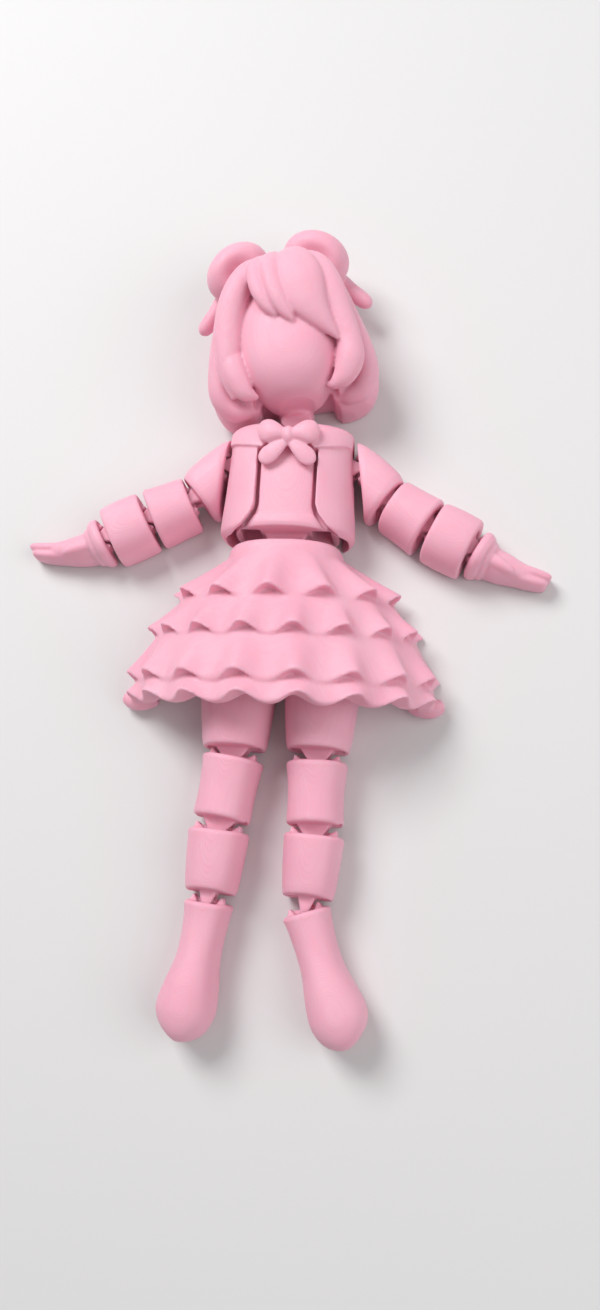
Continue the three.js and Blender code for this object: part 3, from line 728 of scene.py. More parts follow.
@dataclass(frozen=True)
class Link:
    """A loose hinge: a tongue with an eye on a bar between two ears.

    Height, gap and bar place the bar. Lean and swing are the angles that
    the link leaves room for. Waist, flank and tip shape the tongue.
    """

    height: float
    gap: float
    bar: float
    play: float
    lean: float
    swing: float
    waist: float
    flank: float
    tip: float
    ear_height: float
    ear_base: float
    ear_flare: float
    ear_depth: float
    side_play: float = 0.0
    running: float = 0.35
    wall: float = 1.0
    clearance: float = 0.1
    overlap: float = 0.6
    ear_tip: float = 0.5
    ear_sink: float = 0.2
    root: float = 0.8
    past: float = 1.0

    @property
    def hole(self) -> float:
        """Radius of the eye's hole."""
        lean = math.radians(self.lean)
        return self.bar / math.cos(lean) + self.waist * math.tan(lean) + self.clearance

    @property
    def eye(self) -> float:
        """Outer radius of the eye."""
        return self.hole + self.play + self.wall

    @property
    def slot(self) -> float:
        """Half the gap between the ears.

        Returns:
            The half gap.
        """
        lean = math.radians(self.lean)
        sway = self.eye * math.sin(lean) + self.tip * math.cos(lean)
        rise = self.eye * math.sin(math.radians(self.swing)) * math.tan(math.radians(self.flank))
        return max(sway, self.waist / math.cos(lean) + rise) + self.running + self.side_play

    @property
    def reach(self) -> float:
        """Radius of the hollow that the ears turn in."""
        return math.hypot(self.ear_height, self.ear_depth) + self.play + self.running

    def clevis(self, shop: Workshop, place: Matrix) -> tuple[Body, list[Body]]:
        """Make the recess, and the ears with their bar.

        Args:
            shop: where bodies are made.
            place: the rim's frame in the piece.

        Returns:
            The recess to cut, and the bodies to add.
        """
        lift = place @ Matrix.Translation((0, 0, self.height))
        recess = shop.moved(shop.rod(self.eye + self.play + self.running, self.slot), lift)
        added = [shop.moved(shop.rod(self.bar, self.slot + self.overlap, steps=20), lift)]
        tip = self.slot + self.ear_flare
        root = self.slot + self.ear_base
        ear = ((self.slot, -self.overlap), (self.slot, 0), (tip, self.ear_height),
               (tip + self.ear_tip, self.ear_height), (root, -self.ear_sink), (root, -self.overlap))
        for side in (-1, 1):
            blank = shop.prism(on_side(side, ear), -self.ear_depth, self.ear_depth)
            added.append(shop.moved(blank, lift))
        return recess, added

    def tongue(self, shop: Workshop, place: Matrix) -> tuple[Body, Body]:
        """Make the hollow that the ears turn in, and the tongue.

        Args:
            shop: where bodies are made.
            place: the rim's frame in the piece.

        Returns:
            The hollow to cut, and the tongue to add.
        """
        at_bar = place @ Matrix.Translation((0, -self.gap, self.height))
        root = self.gap + max(self.root, self.reach - self.gap) + self.overlap
        wide = self.waist + self.gap * math.tan(math.radians(self.flank))
        half = [(self.tip, -self.eye), (self.waist, 0), (wide, self.gap), (wide, root)]
        outline = half + list(reversed(on_side(-1, half)))
        blade = shop.prism(outline, -self.eye - self.past, self.eye + self.past)
        cheek = [(root + self.past, -self.eye), (root + self.past, self.eye)]
        for degrees in range(90, 271, 10):
            a = math.radians(degrees)
            cheek.append((self.eye * math.cos(a), self.eye * math.sin(a)))
        profile = shop.prism(cheek, -wide - self.past, wide + self.past)
        shop.moved(profile, ON_EDGE)
        tongue = shop.combine(blade, profile, Join.MEET)
        hole = shop.rod(self.hole, wide + self.past, stretch=(self.hole + self.play) / self.hole)
        tongue = shop.moved(shop.combine(tongue, hole, Join.CUT), at_bar)
        hollow = shop.moved(shop.rod(self.reach, self.slot + self.ear_base + self.overlap), at_bar)
        return hollow, tongue


LEG = Link(height=6.6, gap=2.3, bar=1.0, play=0.6, lean=8, swing=16, waist=2.2, flank=35, tip=1.8,
           ear_height=1.5, ear_base=2.6, ear_flare=1.8, ear_depth=1.9)
HIP = replace(LEG, lean=4)
ANKLE = replace(LEG, lean=23, waist=1.1, flank=18, tip=0.7, ear_base=2.0, ear_flare=0.9)
ARM = Link(height=7.0, gap=1.65, bar=0.8, play=0.35, lean=17, swing=12, waist=1.3, flank=26, tip=0.9,
           ear_height=0.9, ear_base=1.9, ear_flare=0.6, ear_depth=1.8)
SHOULDER = replace(ARM, gap=1.25, ear_height=0.7)
WAIST = Link(height=8.2, gap=3.2, bar=1.2, play=0.4, lean=3, swing=12, waist=3.9, flank=24, tip=3.5,
             ear_height=1.6, ear_base=2.4, ear_flare=0.9, ear_depth=2.4)
NECK = Link(height=7.5, gap=2.6, bar=1.0, play=0.4, lean=12, swing=10, waist=2.2, flank=34, tip=1.7,
            ear_height=0.8, ear_base=1.6, ear_flare=0.5, ear_depth=1.8, side_play=1.4)


@dataclass(frozen=True)
class Hang:
    """How a piece hangs at rest: lean, pull and sideways shift."""

    lean: float = 0.0
    pull: float = 0.0
    shift: float = 0.0

    def place(self, link: Link, rim: Matrix) -> Matrix:
        """Frame of the hung piece in the piece above.

        Args:
            link: the joint it hangs on.
            rim: the frame of the rim that carries the tongue.

        Returns:
            The hung piece's frame.
        """
        return rim @ Matrix.Translation((self.shift, -link.gap - self.pull, 0)) @ turned(self.lean)


def turned(degrees: float) -> Matrix:
    """A turn about Z."""
    return Matrix.Rotation(math.radians(degrees), 4, "Z")


def rim_at(x: float = 0.0, y: float = 0.0, turn: float = 0.0) -> Matrix:
    """The frame of a rim in its piece."""
    return Matrix.Translation((x, y, 0)) @ turned(turn)


# Limb segments

# How far a rim's edge is rounded, at the front and at the flat back
RIM, BACK_RIM = 0.6, 1.0
RIM_ANGLES = [math.radians(a) for a in (90, 67.5, 45, 22.5, 0)]


def rim_section(y: float, half: float, depth: float, angle: float, slope: float = 0.0) -> Ring:
    """The section at one angle round a rim's edge."""
    small = 1 - math.cos(angle)
    return section(y, half, depth, inset=RIM * small, back=BACK_RIM * small, slope=slope)


def tapered(shop: Workshop, rows: Rows, slope: float = 0.0, far_rim: bool = True) -> Body:
    """A limb segment with rounded rims.

    Args:
        shop: where bodies are made.
        rows: distance down, half width and depth of each section.
        slope: how far the crown of the far rim leans back.
        far_rim: whether the far end has a rim, too.

    Returns:
        The closed body.
    """
    length = rows[-1][0]
    last = length - BACK_RIM if far_rim else length
    fine = [row for row in smooth_rows(rows) if BACK_RIM < row[0] < last]
    rings = [rim_section(-BACK_RIM * (1 - math.sin(a)), *rows[0][1:], a) for a in RIM_ANGLES]
    for down, half, depth in fine:
        rings.append(section(-down, half, depth, slope=slope * (down / length) ** 2))
    if far_rim:
        for a in reversed(RIM_ANGLES):
            rings.append(rim_section(BACK_RIM * (1 - math.sin(a)) - length, *rows[-1][1:], a, slope))
    return shop.loft(rings)


@dataclass(frozen=True)
class Segment:
    """One limb segment: length and its half width and depth at three places."""

    length: float
    top: Pair
    middle: Pair
    end: Pair
    slope: float

    def body(self, shop: Workshop) -> Body:
        """Its body without joints."""
        rows = [(0, *self.top), (self.length / 2, *self.middle), (self.length, *self.end)]
        return tapered(shop, rows, self.slope)


@dataclass
class Piece:
    """A rigid piece: the bodies that its joints are cut in and what is added."""

    name: str
    shop: Workshop
    bodies: list[Body]
    place: Matrix
    added: list[Body] = field(default_factory=list)

    def cut(self, tool: Body) -> "Piece":
        """Cut one tool, used up, from every body that it reaches.

        Args:
            tool: the tool.

        Returns:
            The piece.
        """
        spans = [self.shop.span(made) for made in (tool, *self.bodies)]
        tool_low, tool_high = spans[0]
        for i, (low, high) in enumerate(spans[1:]):
            if all(low[k] < tool_high[k] and high[k] > tool_low[k] for k in range(3)):
                copy = self.shop.body(tool.data.copy())
                self.bodies[i] = self.shop.combine(self.bodies[i], copy, Join.CUT)
        bpy.data.objects.remove(tool)
        return self

    def top(self, link: Link, rim: Matrix = Matrix()) -> "Piece":
        """Give it the ears and bar that it hangs by.

        Args:
            link: the joint.
            rim: the rim's frame in the piece.

        Returns:
            The piece.
        """
        recess, ears = link.clevis(self.shop, rim)
        self.added += ears
        return self.cut(recess)

    def end(self, link: Link, rim: Matrix) -> "Piece":
        """Give it a tongue for the next piece.

        Args:
            link: the joint.
            rim: the rim's frame in the piece.

        Returns:
            The piece.
        """
        hollow, tongue = link.tongue(self.shop, rim)
        self.added.append(tongue)
        return self.cut(hollow)

    def cast(self, voxel: float = 0.3, passes: int = 5) -> Body:
        """Fuse it and put it in its place."""
        return self.shop.cast(self.name, [*self.bodies, *self.added], self.place, voxel, passes)


# The doll's pieces


@dataclass
class Leg:
    """Thigh, knee, shin and foot of one side."""

    side: Side
    hangs: dict[str, Hang]
    thigh: Segment = Segment(15.9, (9.3, 15.5), (8.6, 15.4), (7.7, 15), 0.6)
    knee: Segment = Segment(15.2, (7.4, 14.6), (6.75, 14), (6.85, 14), 0.9)
    shin: Segment = Segment(15, (7.25, 14), (6.8, 13.6), (6.1, 13), 1.4)
    foot: Rows = (
        (0, 5.8, 12.4), (4, 5.3, 12.2), (9, 5.0, 12.4), (14, 5.2, 13.2), (19, 6.2, 14.2),
        (24, 6.9, 14.6), (27, 6.4, 14.1), (29.4, 5.1, 13), (31, 3.3, 11.5), (31.7, 1.9, 10.2),
        (32, 0.6, 9))
    toe_out: float = 1.6
    toe_lift: float = 0.3
    toe_slant: float = 0.25

    def foot_body(self, shop: Workshop) -> Body:
        """The foot, its toes swept outwards and slanted.

        Args:
            shop: where bodies are made.

        Returns:
            The closed body.
        """
        made = tapered(shop, self.foot, far_rim=False)
        side, length = self.side.value, self.foot[-1][0]
        for vertex in made.data.vertices:
            x, y, z = vertex.co
            down = max(0.0, -y / length)
            lift = self.toe_lift + self.toe_slant * side * x
            vertex.co = (x + side * self.toe_out * down ** 2, y + lift * down ** 4, z)
        return made

    def build(self, shop: Workshop, hip: Matrix) -> None:
        """Build its four pieces.

        Args:
            shop: where bodies are made.
            hip: the frame of the hip rim.
        """
        name = self.side.name.lower()
        place = self.hangs["hip"].place(HIP, hip)
        links = (("thigh", self.thigh, HIP, LEG, "knee"), ("knee", self.knee, LEG, LEG, "shin"),
                 ("shin", self.shin, LEG, ANKLE, "ankle"))
        for piece, segment, upper, lower, below in links:
            rim = rim_at(y=-segment.length)
            Piece(f"{name}_{piece}", shop, [segment.body(shop)], place).top(upper).end(lower, rim).cast()
            place = place @ self.hangs[below].place(lower, rim)
        Piece(f"{name}_foot", shop, [self.foot_body(shop)], place).top(ANKLE).cast()


@dataclass
class Arm:
    """Sleeve of three pieces and a hand.

    The cap is the upper sleeve. Its end gives x, y and half width, and its
    rim is a share of its length.
    """

    side: Side
    hangs: dict[str, Hang]
    hand_bend: float
    depth: float = 13.4
    cap: float = 10.1
    cap_shift: float = -1.8
    cap_end: Triple = (-8.8, -6.4, 6.8)
    cap_steps: int = 24
    cap_power: float = 0.8
    cap_rim: float = 1 / 7
    cap_back_rim: float = 1.6
    bend: float = 46
    middle: Segment = Segment(10.8, (6.9, 13.4), (7.2, 13.6), (7.7, 13.8), 0.4)
    lower: Segment = Segment(10.6, (7.7, 13.8), (7.9, 13.8), (7.7, 13.4), 0.4)
    cuff: Rows = ((0, 6.1, 12), (1.5, 6.1, 12), (2.8, 5.8, 11.7))
    wrist: Pair = (4.9, 10.4)
    wrist_insets: Rows = ((2.2, 0.7), (2.6, 0.3), (3.4, 0), (4.1, 0.3), (4.4, 0.9))
    hand_length: float = 20
    hand_sweep: float = 1.3
    palm: Rows = (
        (3.6, 4.2, 9, 0), (7.5, 3.8, 8.6, 0), (10.5, 3.2, 8, 0), (13.5, 2.6, 7, 0), (15.5, 1.8, 5.4, 0),
        (16.6, 0.6, 4, 0))
    finger: Rows = (
        (9, 1.7, 7.2, 1.1), (13.5, 1.65, 7, 1.1), (16.6, 1.5, 6.4, 1.05), (18.1, 1.3, 5.8, 1),
        (18.8, 0.95, 5.2, 1), (19.1, 0.5, 4.6, 1))
    thumb: Rows = ((4, 2.5, 9.7, -0.2), (7, 2.2, 9.9, -0.6), (10, 1.6, 9.1, -1.1), (11.6, 0.5, 7.4, -1.4))

    def cap_body(self, shop: Workshop) -> Body:
        """The wedge-shaped upper sleeve.

        Args:
            shop: where bodies are made.

        Returns:
            The closed body.
        """
        side = self.side.value
        x_end, y_end, half_end = self.cap_end
        rings = []
        for i in range(self.cap_steps + 1):
            t = i / self.cap_steps
            inset = RIM * max(0.0, 1 - min(t, 1 - t) / self.cap_rim)
            half = self.cap + (half_end - self.cap) * t ** self.cap_power
            x = side * (self.cap_shift + (x_end - self.cap_shift) * t)
            rings.append(section(y_end * t, half, self.depth, x=x, inset=inset,
                                 back=inset * self.cap_back_rim, turn=-side * self.bend * t))
        return shop.loft(rings)

    def hand_bodies(self, shop: Workshop) -> tuple[list[Body], list[Body]]:
        """The cuff and wrist ring, and the palm, two finger tips and thumb.

        Args:
            shop: where bodies are made.

        Returns:
            The bodies that the joint is cut in, and the ones that are added.
        """
        cuff = tapered(shop, self.cuff)
        ring = shop.loft([section(-down, *self.wrist, inset=inset) for down, inset in self.wrist_insets])
        other = [(*row, -x) for *row, x in self.finger]
        return [cuff, ring], [self.swept(shop, rows) for rows in (self.palm, self.finger, other, self.thumb)]

    def swept(self, shop: Workshop, rows: Rows) -> Body:
        """Loft rows of distance down, half width, depth and shift along the bent hand.

        Args:
            shop: where bodies are made.
            rows: the rows.

        Returns:
            The closed body.
        """
        side = self.side.value
        rings = []
        for down, half, depth, x in smooth_rows(rows):
            t = down / self.hand_length
            bent = math.tan(math.radians(self.hand_bend)) * down * t * self.hand_sweep
            rings.append(section(-down, half, depth, x=side * (bent + x), turn=side * self.hand_bend * t))
        return shop.loft(rings)

    def build(self, shop: Workshop, shoulder: Matrix) -> None:
        """Build its four pieces.

        Args:
            shop: where bodies are made.
            shoulder: the frame of the torso's side rim.
        """
        name, side = self.side.name.lower(), self.side.value
        place = self.hangs["shoulder"].place(SHOULDER, shoulder)
        cap_rim = rim_at(side * self.cap_end[0], self.cap_end[1], -side * self.bend)
        links = (("upper_sleeve", self.cap_body(shop), SHOULDER, cap_rim, "elbow"),
                 ("middle_sleeve", self.middle.body(shop), ARM, rim_at(y=-self.middle.length), "forearm"),
                 ("lower_sleeve", self.lower.body(shop), ARM, rim_at(y=-self.lower.length), "wrist"))
        for piece, body, upper, rim, below in links:
            Piece(f"{name}_{piece}", shop, [body], place).top(upper).end(ARM, rim).cast()
            place = place @ self.hangs[below].place(ARM, rim)
        rings, rest = self.hand_bodies(shop)
        hand = Piece(f"{name}_hand", shop, rings, place).top(ARM)
        hand.added += rest
        hand.cast()


@dataclass
class Torso:
    """Open jacket over a bodice, collar flaps and neck bow.

    Rows of three give a place and how much the half width and the depth
    differ there. Rows of two give an outline in x and y. A span gives how
    far two heights lie from the depth.
    """

    top: float = 14.5
    half: float = 15.7
    depth: float = 19.6
    shoulder: float = 5.5
    splay: float = 4
    jacket: Rows = (
        (14.5, -1.2, -4.4), (12.1, -0.2, -1.6), (5.5, 0, -0.3), (-4, 0.6, 0), (-11.8, 1.2, 0),
        (-13.6, 0.7, -0.6), (-14.8, -1, -1.6))
    hem_hollow: Rows = ((-8.8, -0.3, -1.5), (-15.8, -0.3, -1.5))
    front_edge: Rows = ((7.5, 15.5), (7.5, -7.5), (8.4, -10), (10.5, -12.6), (13, -14), (13.5, -15.8))
    opening_span: Pair = (-7.84, 4)
    bodice_hem: float = -13
    bodice_half: float = 13
    bodice_inset: float = 1.4
    bodice_rows: Rows = ((13.3, 0, -2.6), (4, 0, 0), (-8, 0, -0.3), (-13, 0, -0.9))
    band: Rows = ((-9.6, -0.2, -0.7), (-10.2, 0, 0.1), (-12, 0, 0.2), (-13, 0, -0.3))
    groove_sides: Pair = (-1.0, 0.4)
    groove_span: Pair = (-5.5, 2)
    pocket: Rows = ((6.4, -14), (11.2, -14), (11.2, -7), (6.4, -7))
    pocket_span: Pair = (-16.6, -6.2)
    collar_lift: float = 0.7
    flap: Rows = ((3, 16.5), (4.6, 8.6), (6.4, 6.6), (11.4, 7.8), (15.4, 9.4), (15.4, 16.5))
    flap_span: Pair = (-15.6, 3)
    knot: Triple = (1.5, 2.2, 1.7)
    knot_lift: float = 0.9
    bow_lobe: Rows = (
        (0.2, -0.2, 0.6, 0.8, 0.9), (2.6, 0.5, 1.0, 2.1, 1.5), (4.8, 0.9, 0.7, 3.0, 1.8),
        (6.4, 0.8, 0.1, 2.6, 1.5), (7.2, 0.7, -0.5, 1.2, 0.8))
    bow_tail: Rows = (
        (0.4, -1.6, 0.4, 0.8, 0.9), (2.4, -3.2, 0.5, 1.8, 1.0), (4.6, -5.0, 0.1, 2.3, 1.0),
        (6.0, -6.2, -0.3, 1.7, 0.9), (6.6, -6.7, -0.5, 0.7, 0.5))
    bow_spot: Pair = (0.1, 9.3)

    def shoulder_rim(self, side: Side) -> Matrix:
        """The frame of one side rim."""
        return rim_at(side.value * self.half, self.shoulder, side.value * (90 + self.splay))

    def edge(self, side: float, out: float = 0.0) -> list[Row]:
        """The jacket's front edge, from the neck down to the rounded corner."""
        return [(side * (x + out), y) for x, y in self.front_edge]

    def fitted(self, rows: Rows, half: float, depth: float) -> list[Row]:
        """Rows of differences as rows of sizes."""
        return [(y, half + wider, depth + deeper) for y, wider, deeper in rows]

    def tool(self, shop: Workshop, outline: Rows, span: Pair) -> Body:
        """An outline raised between two heights given from the depth."""
        return shop.prism(outline, self.depth + span[0], self.depth + span[1])

    def shell(self, shop: Workshop) -> Body:
        """The jacket with its opening and its hollow hem.

        Args:
            shop: where bodies are made.

        Returns:
            The closed body.
        """
        jacket = shop.sections(self.fitted(self.jacket, self.half, self.depth))
        hollow = self.fitted(self.hem_hollow, self.half, self.depth)
        jacket = shop.combine(jacket, shop.loft([section(*row) for row in hollow]), Join.CUT)
        outline = self.edge(-1) + list(reversed(self.edge(1)))
        return shop.combine(jacket, self.tool(shop, outline, self.opening_span), Join.CUT)

    def bodice(self, shop: Workshop) -> Body:
        """The bodice under it, with the seam grooves along the jacket's edges.

        Args:
            shop: where bodies are made.

        Returns:
            The closed body.
        """
        half, depth = self.bodice_half, self.depth - self.bodice_inset
        bodice = shop.sections(self.fitted(self.bodice_rows, half, depth))
        band = shop.loft([section(*row) for row in self.fitted(self.band, half, depth)])
        bodice = shop.combine(bodice, band, Join.ADD)
        for side in (-1, 1):
            inner, outer = [self.edge(side, out)[:4] for out in self.groove_sides]
            groove = self.tool(shop, inner + list(reversed(outer)), self.groove_span)
            pocket = self.tool(shop, on_side(side, self.pocket), self.pocket_span)
            for tool in (groove, pocket):
                bodice = shop.combine(bodice, tool, Join.CUT)
        return bodice

    def collar(self, shop: Workshop) -> list[Body]:
        """The two flaps that lie on the shoulders.

        Args:
            shop: where bodies are made.

        Returns:
            The flaps.
        """
        lift = self.collar_lift
        rows = self.fitted(self.jacket[:4], self.half + lift, self.depth + lift)
        flaps = []
        for side in (-1, 1):
            outline = self.tool(shop, on_side(side, self.flap), self.flap_span)
            flaps.append(shop.combine(shop.sections(rows), outline, Join.MEET))
        return flaps

    def bow(self, shop: Workshop) -> list[Body]:
        """Knot, two lobes and two tails.

        Args:
            shop: where bodies are made.

        Returns:
            Its bodies.
        """
        x, y = self.bow_spot
        parts = [shop.egg((x, y, self.depth + self.knot_lift), self.knot)]
        for side in (-1, 1):
            for rows in (self.bow_lobe, self.bow_tail):
                placed = [(x * side + a, y + b, self.depth + c, w, t) for a, b, c, w, t in rows]
                parts.append(shop.lock(placed, side))
        return parts

    def build(self, shop: Workshop) -> None:
        """Build the piece.

        Args:
            shop: where bodies are made.
        """
        piece = Piece("torso", shop, [self.shell(shop), self.bodice(shop), *self.collar(shop)], Matrix())
        for side in Side:
            piece.end(SHOULDER, self.shoulder_rim(side))
        piece.end(WAIST, rim_at(y=self.bodice_hem)).top(NECK, rim_at(y=self.top))
        piece.added += self.bow(shop)
        piece.cast(voxel=0.28, passes=4)


@dataclass(frozen=True)
class Tier:
    """One ruffled tier: where it starts and ends, its size and its waves."""

    start: float
    end: float
    half: float
    depth: float
    waves: float
    phase: float


@dataclass(frozen=True)
class RuffleTree:
    """Geometry nodes that shape a drum into one ruffled tier.

    The powers say how a form grows towards the hem or the sides. Corner is
    how far the back corners draw in, and middle the height that the ends
    close to, as a share of the depth.
    """

    inputs: tuple[str, ...] = ("Start", "End", "Top Half Width", "Top Depth", "Half Width", "Depth",
                               "Waves", "Phase", "Swing", "Lift", "Rise", "Sharpness", "Round")
    around: int = 400
    rows: int = 16
    end_rows: int = 6
    ease: float = 1.7
    rim: float = 0.1
    swing_power: float = 1.4
    rise_power: float = 3
    corner_power: float = 8
    corner: float = 1.5
    middle: float = 0.35

    def group(self) -> bpy.types.NodeTree:
        """Build the node tree.

        Returns:
            The tree, with its inputs by name.
        """
        nodes = bpy.data.node_groups.new("ruffle_tier", "GeometryNodeTree")
        for name in self.inputs:
            nodes.interface.new_socket(name=name, in_out="INPUT", socket_type="NodeSocketFloat")
        nodes.interface.new_socket(name="Material", in_out="INPUT", socket_type="NodeSocketMaterial")
        nodes.interface.new_socket(name="Geometry", in_out="OUTPUT", socket_type="NodeSocketGeometry")
        tree = Tree(nodes)
        given = tree.node("NodeGroupInput")
        drum = tree.node("GeometryNodeMeshCylinder", {"fill_type": "TRIANGLE_FAN"}, {
            "Vertices": self.around,
            "Side Segments": self.rows,
            "Fill Segments": self.end_rows,
            "Radius": 1.0,
            "Depth": 2.0,
        })["Mesh"]
        position = tree.node("GeometryNodeInputPosition")["Position"]
        spot = tree.node("ShaderNodeSeparateXYZ", values={0: position})
        x, y, z = spot["X"], spot["Y"], spot["Z"]
        angle = ((y * -1).atan2(x * -1) + math.pi) * 0.5
        reach = (x * x + y * y) ** 0.5
        down = 1 - (1 - (1 - z) * 0.5) ** self.ease
        near = ((down - (1 - self.rim)) / self.rim).above(0)
        tuck = (1 - (1 - near * near) ** 0.5) * given["Round"]
        turn = (angle - given["Phase"]) * given["Waves"]
        wave = turn.cos() + (turn * 2).cos() * given["Sharpness"]
        swell = wave * given["Swing"] * down ** self.swing_power - tuck

        def along(first: str, last: str) -> Value:
            """A size on its way from the tier's top to its hem."""
            return given[first] + (given[last] - given[first]) * down

        half = along("Top Half Width", "Half Width") + swell
        depth = along("Top Depth", "Depth") + swell
        fall = along("Start", "End")
        rise = angle.cos().abs() ** self.rise_power * given["Rise"] * down
        corner = (1 - angle.sin()) ** self.corner_power * down * given["Round"] * self.corner
        middle = depth * self.middle
        placed = tree.node("ShaderNodeCombineXYZ", values={
            "X": (half - corner) * angle.cos() * reach,
            "Y": fall + rise + wave * given["Lift"] * down ** 2,
            "Z": middle + (depth * angle.sin() - middle) * reach,
        })["Vector"]
        values = {"Geometry": drum, "Position": placed}
        shaped = tree.node("GeometryNodeSetPosition", values=values)["Geometry"]
        outward = tree.node("GeometryNodeFlipFaces", values={"Mesh": shaped})["Mesh"]
        whole = tree.node("GeometryNodeRealizeInstances", values={"Geometry": outward})["Geometry"]
        values = {"Geometry": whole, "Material": given["Material"]}
        painted = tree.node("GeometryNodeSetMaterial", values=values)
        tree.node("NodeGroupOutput", values={"Geometry": painted["Geometry"]})
        return nodes

    def body(self, shop: Workshop, group: bpy.types.NodeTree, sizes: Sequence[float]) -> Body:
        """Make one tier.

        Args:
            shop: where bodies are made.
            group: the tree.
            sizes: a value for each of its inputs, in order.

        Returns:
            The tier as a plain body.
        """
        made = shop.body(bpy.data.meshes.new("tier"))
        step = made.modifiers.new("ruffle", "NODES")
        step.node_group = group
        values = dict(zip(self.inputs, sizes)) | {"Material": shop.finish}
        for item in group.interface.items_tree:
            if item.in_out == "INPUT":
                step[item.identifier] = values[item.name]
        return shop.applied(made)


@dataclass
class Skirt:
    """Four ruffled tiers on a solid back, hollow under the lowest one."""

    hang: Hang = Hang(lean=1)
    core: float = 32
    hip_spread: float = 10.3
    band: Rows = ((0, 13.8, 18), (2, 14.3, 18.3), (6, 14.8, 18))
    tiers: tuple[Tier, ...] = (
        Tier(-1, -14.6, 29.1, 23.5, 13.4, 13.7), Tier(-13, -24.3, 34.6, 26.5, 17.7, 1),
        Tier(-22, -35.8, 39, 28.5, 17.6, 0), Tier(-33.5, -40.8, 38.8, 28.5, 17.6, -1.5))
    overhang: Pair = (1.7, 3.2)
    wall: float = 6.4
    flare: float = 3.2
    back_wall: float = 2
    bell_steps: int = 48
    swing: float = 1.5
    lift: float = 1.2
    rise: float = 2.4
    sharpness: float = 0.12
    rounding: float = 0.9
    curl: Rows = (
        (31.6, -37.2, 2.5, 1.9, 2.4), (34.2, -38, 2.6, 2.5, 2.6), (37.2, -38.2, 2.6, 2.5, 2.6),
        (39.6, -37.4, 2.2, 1.5, 2.0))

    def hip_rim(self, side: Side) -> Matrix:
        """The frame of one hip rim in the skirt."""
        return rim_at(side.value * self.hip_spread, -self.core)

    def ruffles(self, shop: Workshop) -> list[Body]:
        """The four tiers.

        Args:
            shop: where bodies are made.

        Returns:
            The tiers from the top down.
        """
        nodes = RuffleTree()
        group = nodes.group()
        made = []
        _, half, depth = self.band[0]
        for tier in self.tiers:
            sizes = (tier.start, tier.end, half, depth, tier.half, tier.depth, tier.waves,
                     math.radians(tier.phase), self.swing, self.lift, self.rise, self.sharpness,
                     self.rounding)
            made.append(nodes.body(shop, group, sizes))
            half, depth = tier.half - self.overhang[0], tier.depth - self.overhang[1]
        return made

    def bell(self, shop: Workshop) -> Body:
        """The hollow under the lowest tier.

        Args:
            shop: where bodies are made.

        Returns:
            The hollow as a closed body.
        """
        last = self.tiers[-1]
        back = self.back_wall
        angles = [math.pi * i / self.bell_steps for i in range(self.bell_steps + 1)]
        rings = []
        for y, inset in ((-self.core, self.wall), (last.end - self.flare, self.wall - self.flare)):
            half, depth = last.half - inset, last.depth - inset
            arch = [(math.cos(a) * half, math.sin(a) * depth) for a in angles]
            rings.append([Vector((x, y, z if z > back else -back)) for x, z in arch])
        return shop.loft(rings)

    def build(self, shop: Workshop, waist: Matrix) -> None:
        """Build the piece.

        Args:
            shop: where bodies are made.
            waist: the skirt's frame.
        """
        bodies = [tapered(shop, self.band), *self.ruffles(shop)]
        piece = Piece("skirt", shop, bodies, waist).cut(self.bell(shop)).top(WAIST)
        for side in Side:
            piece.end(HIP, self.hip_rim(side))
        piece.added += [shop.lock(self.curl, side.value) for side in Side]
        piece.cast(voxel=0.43, passes=3)


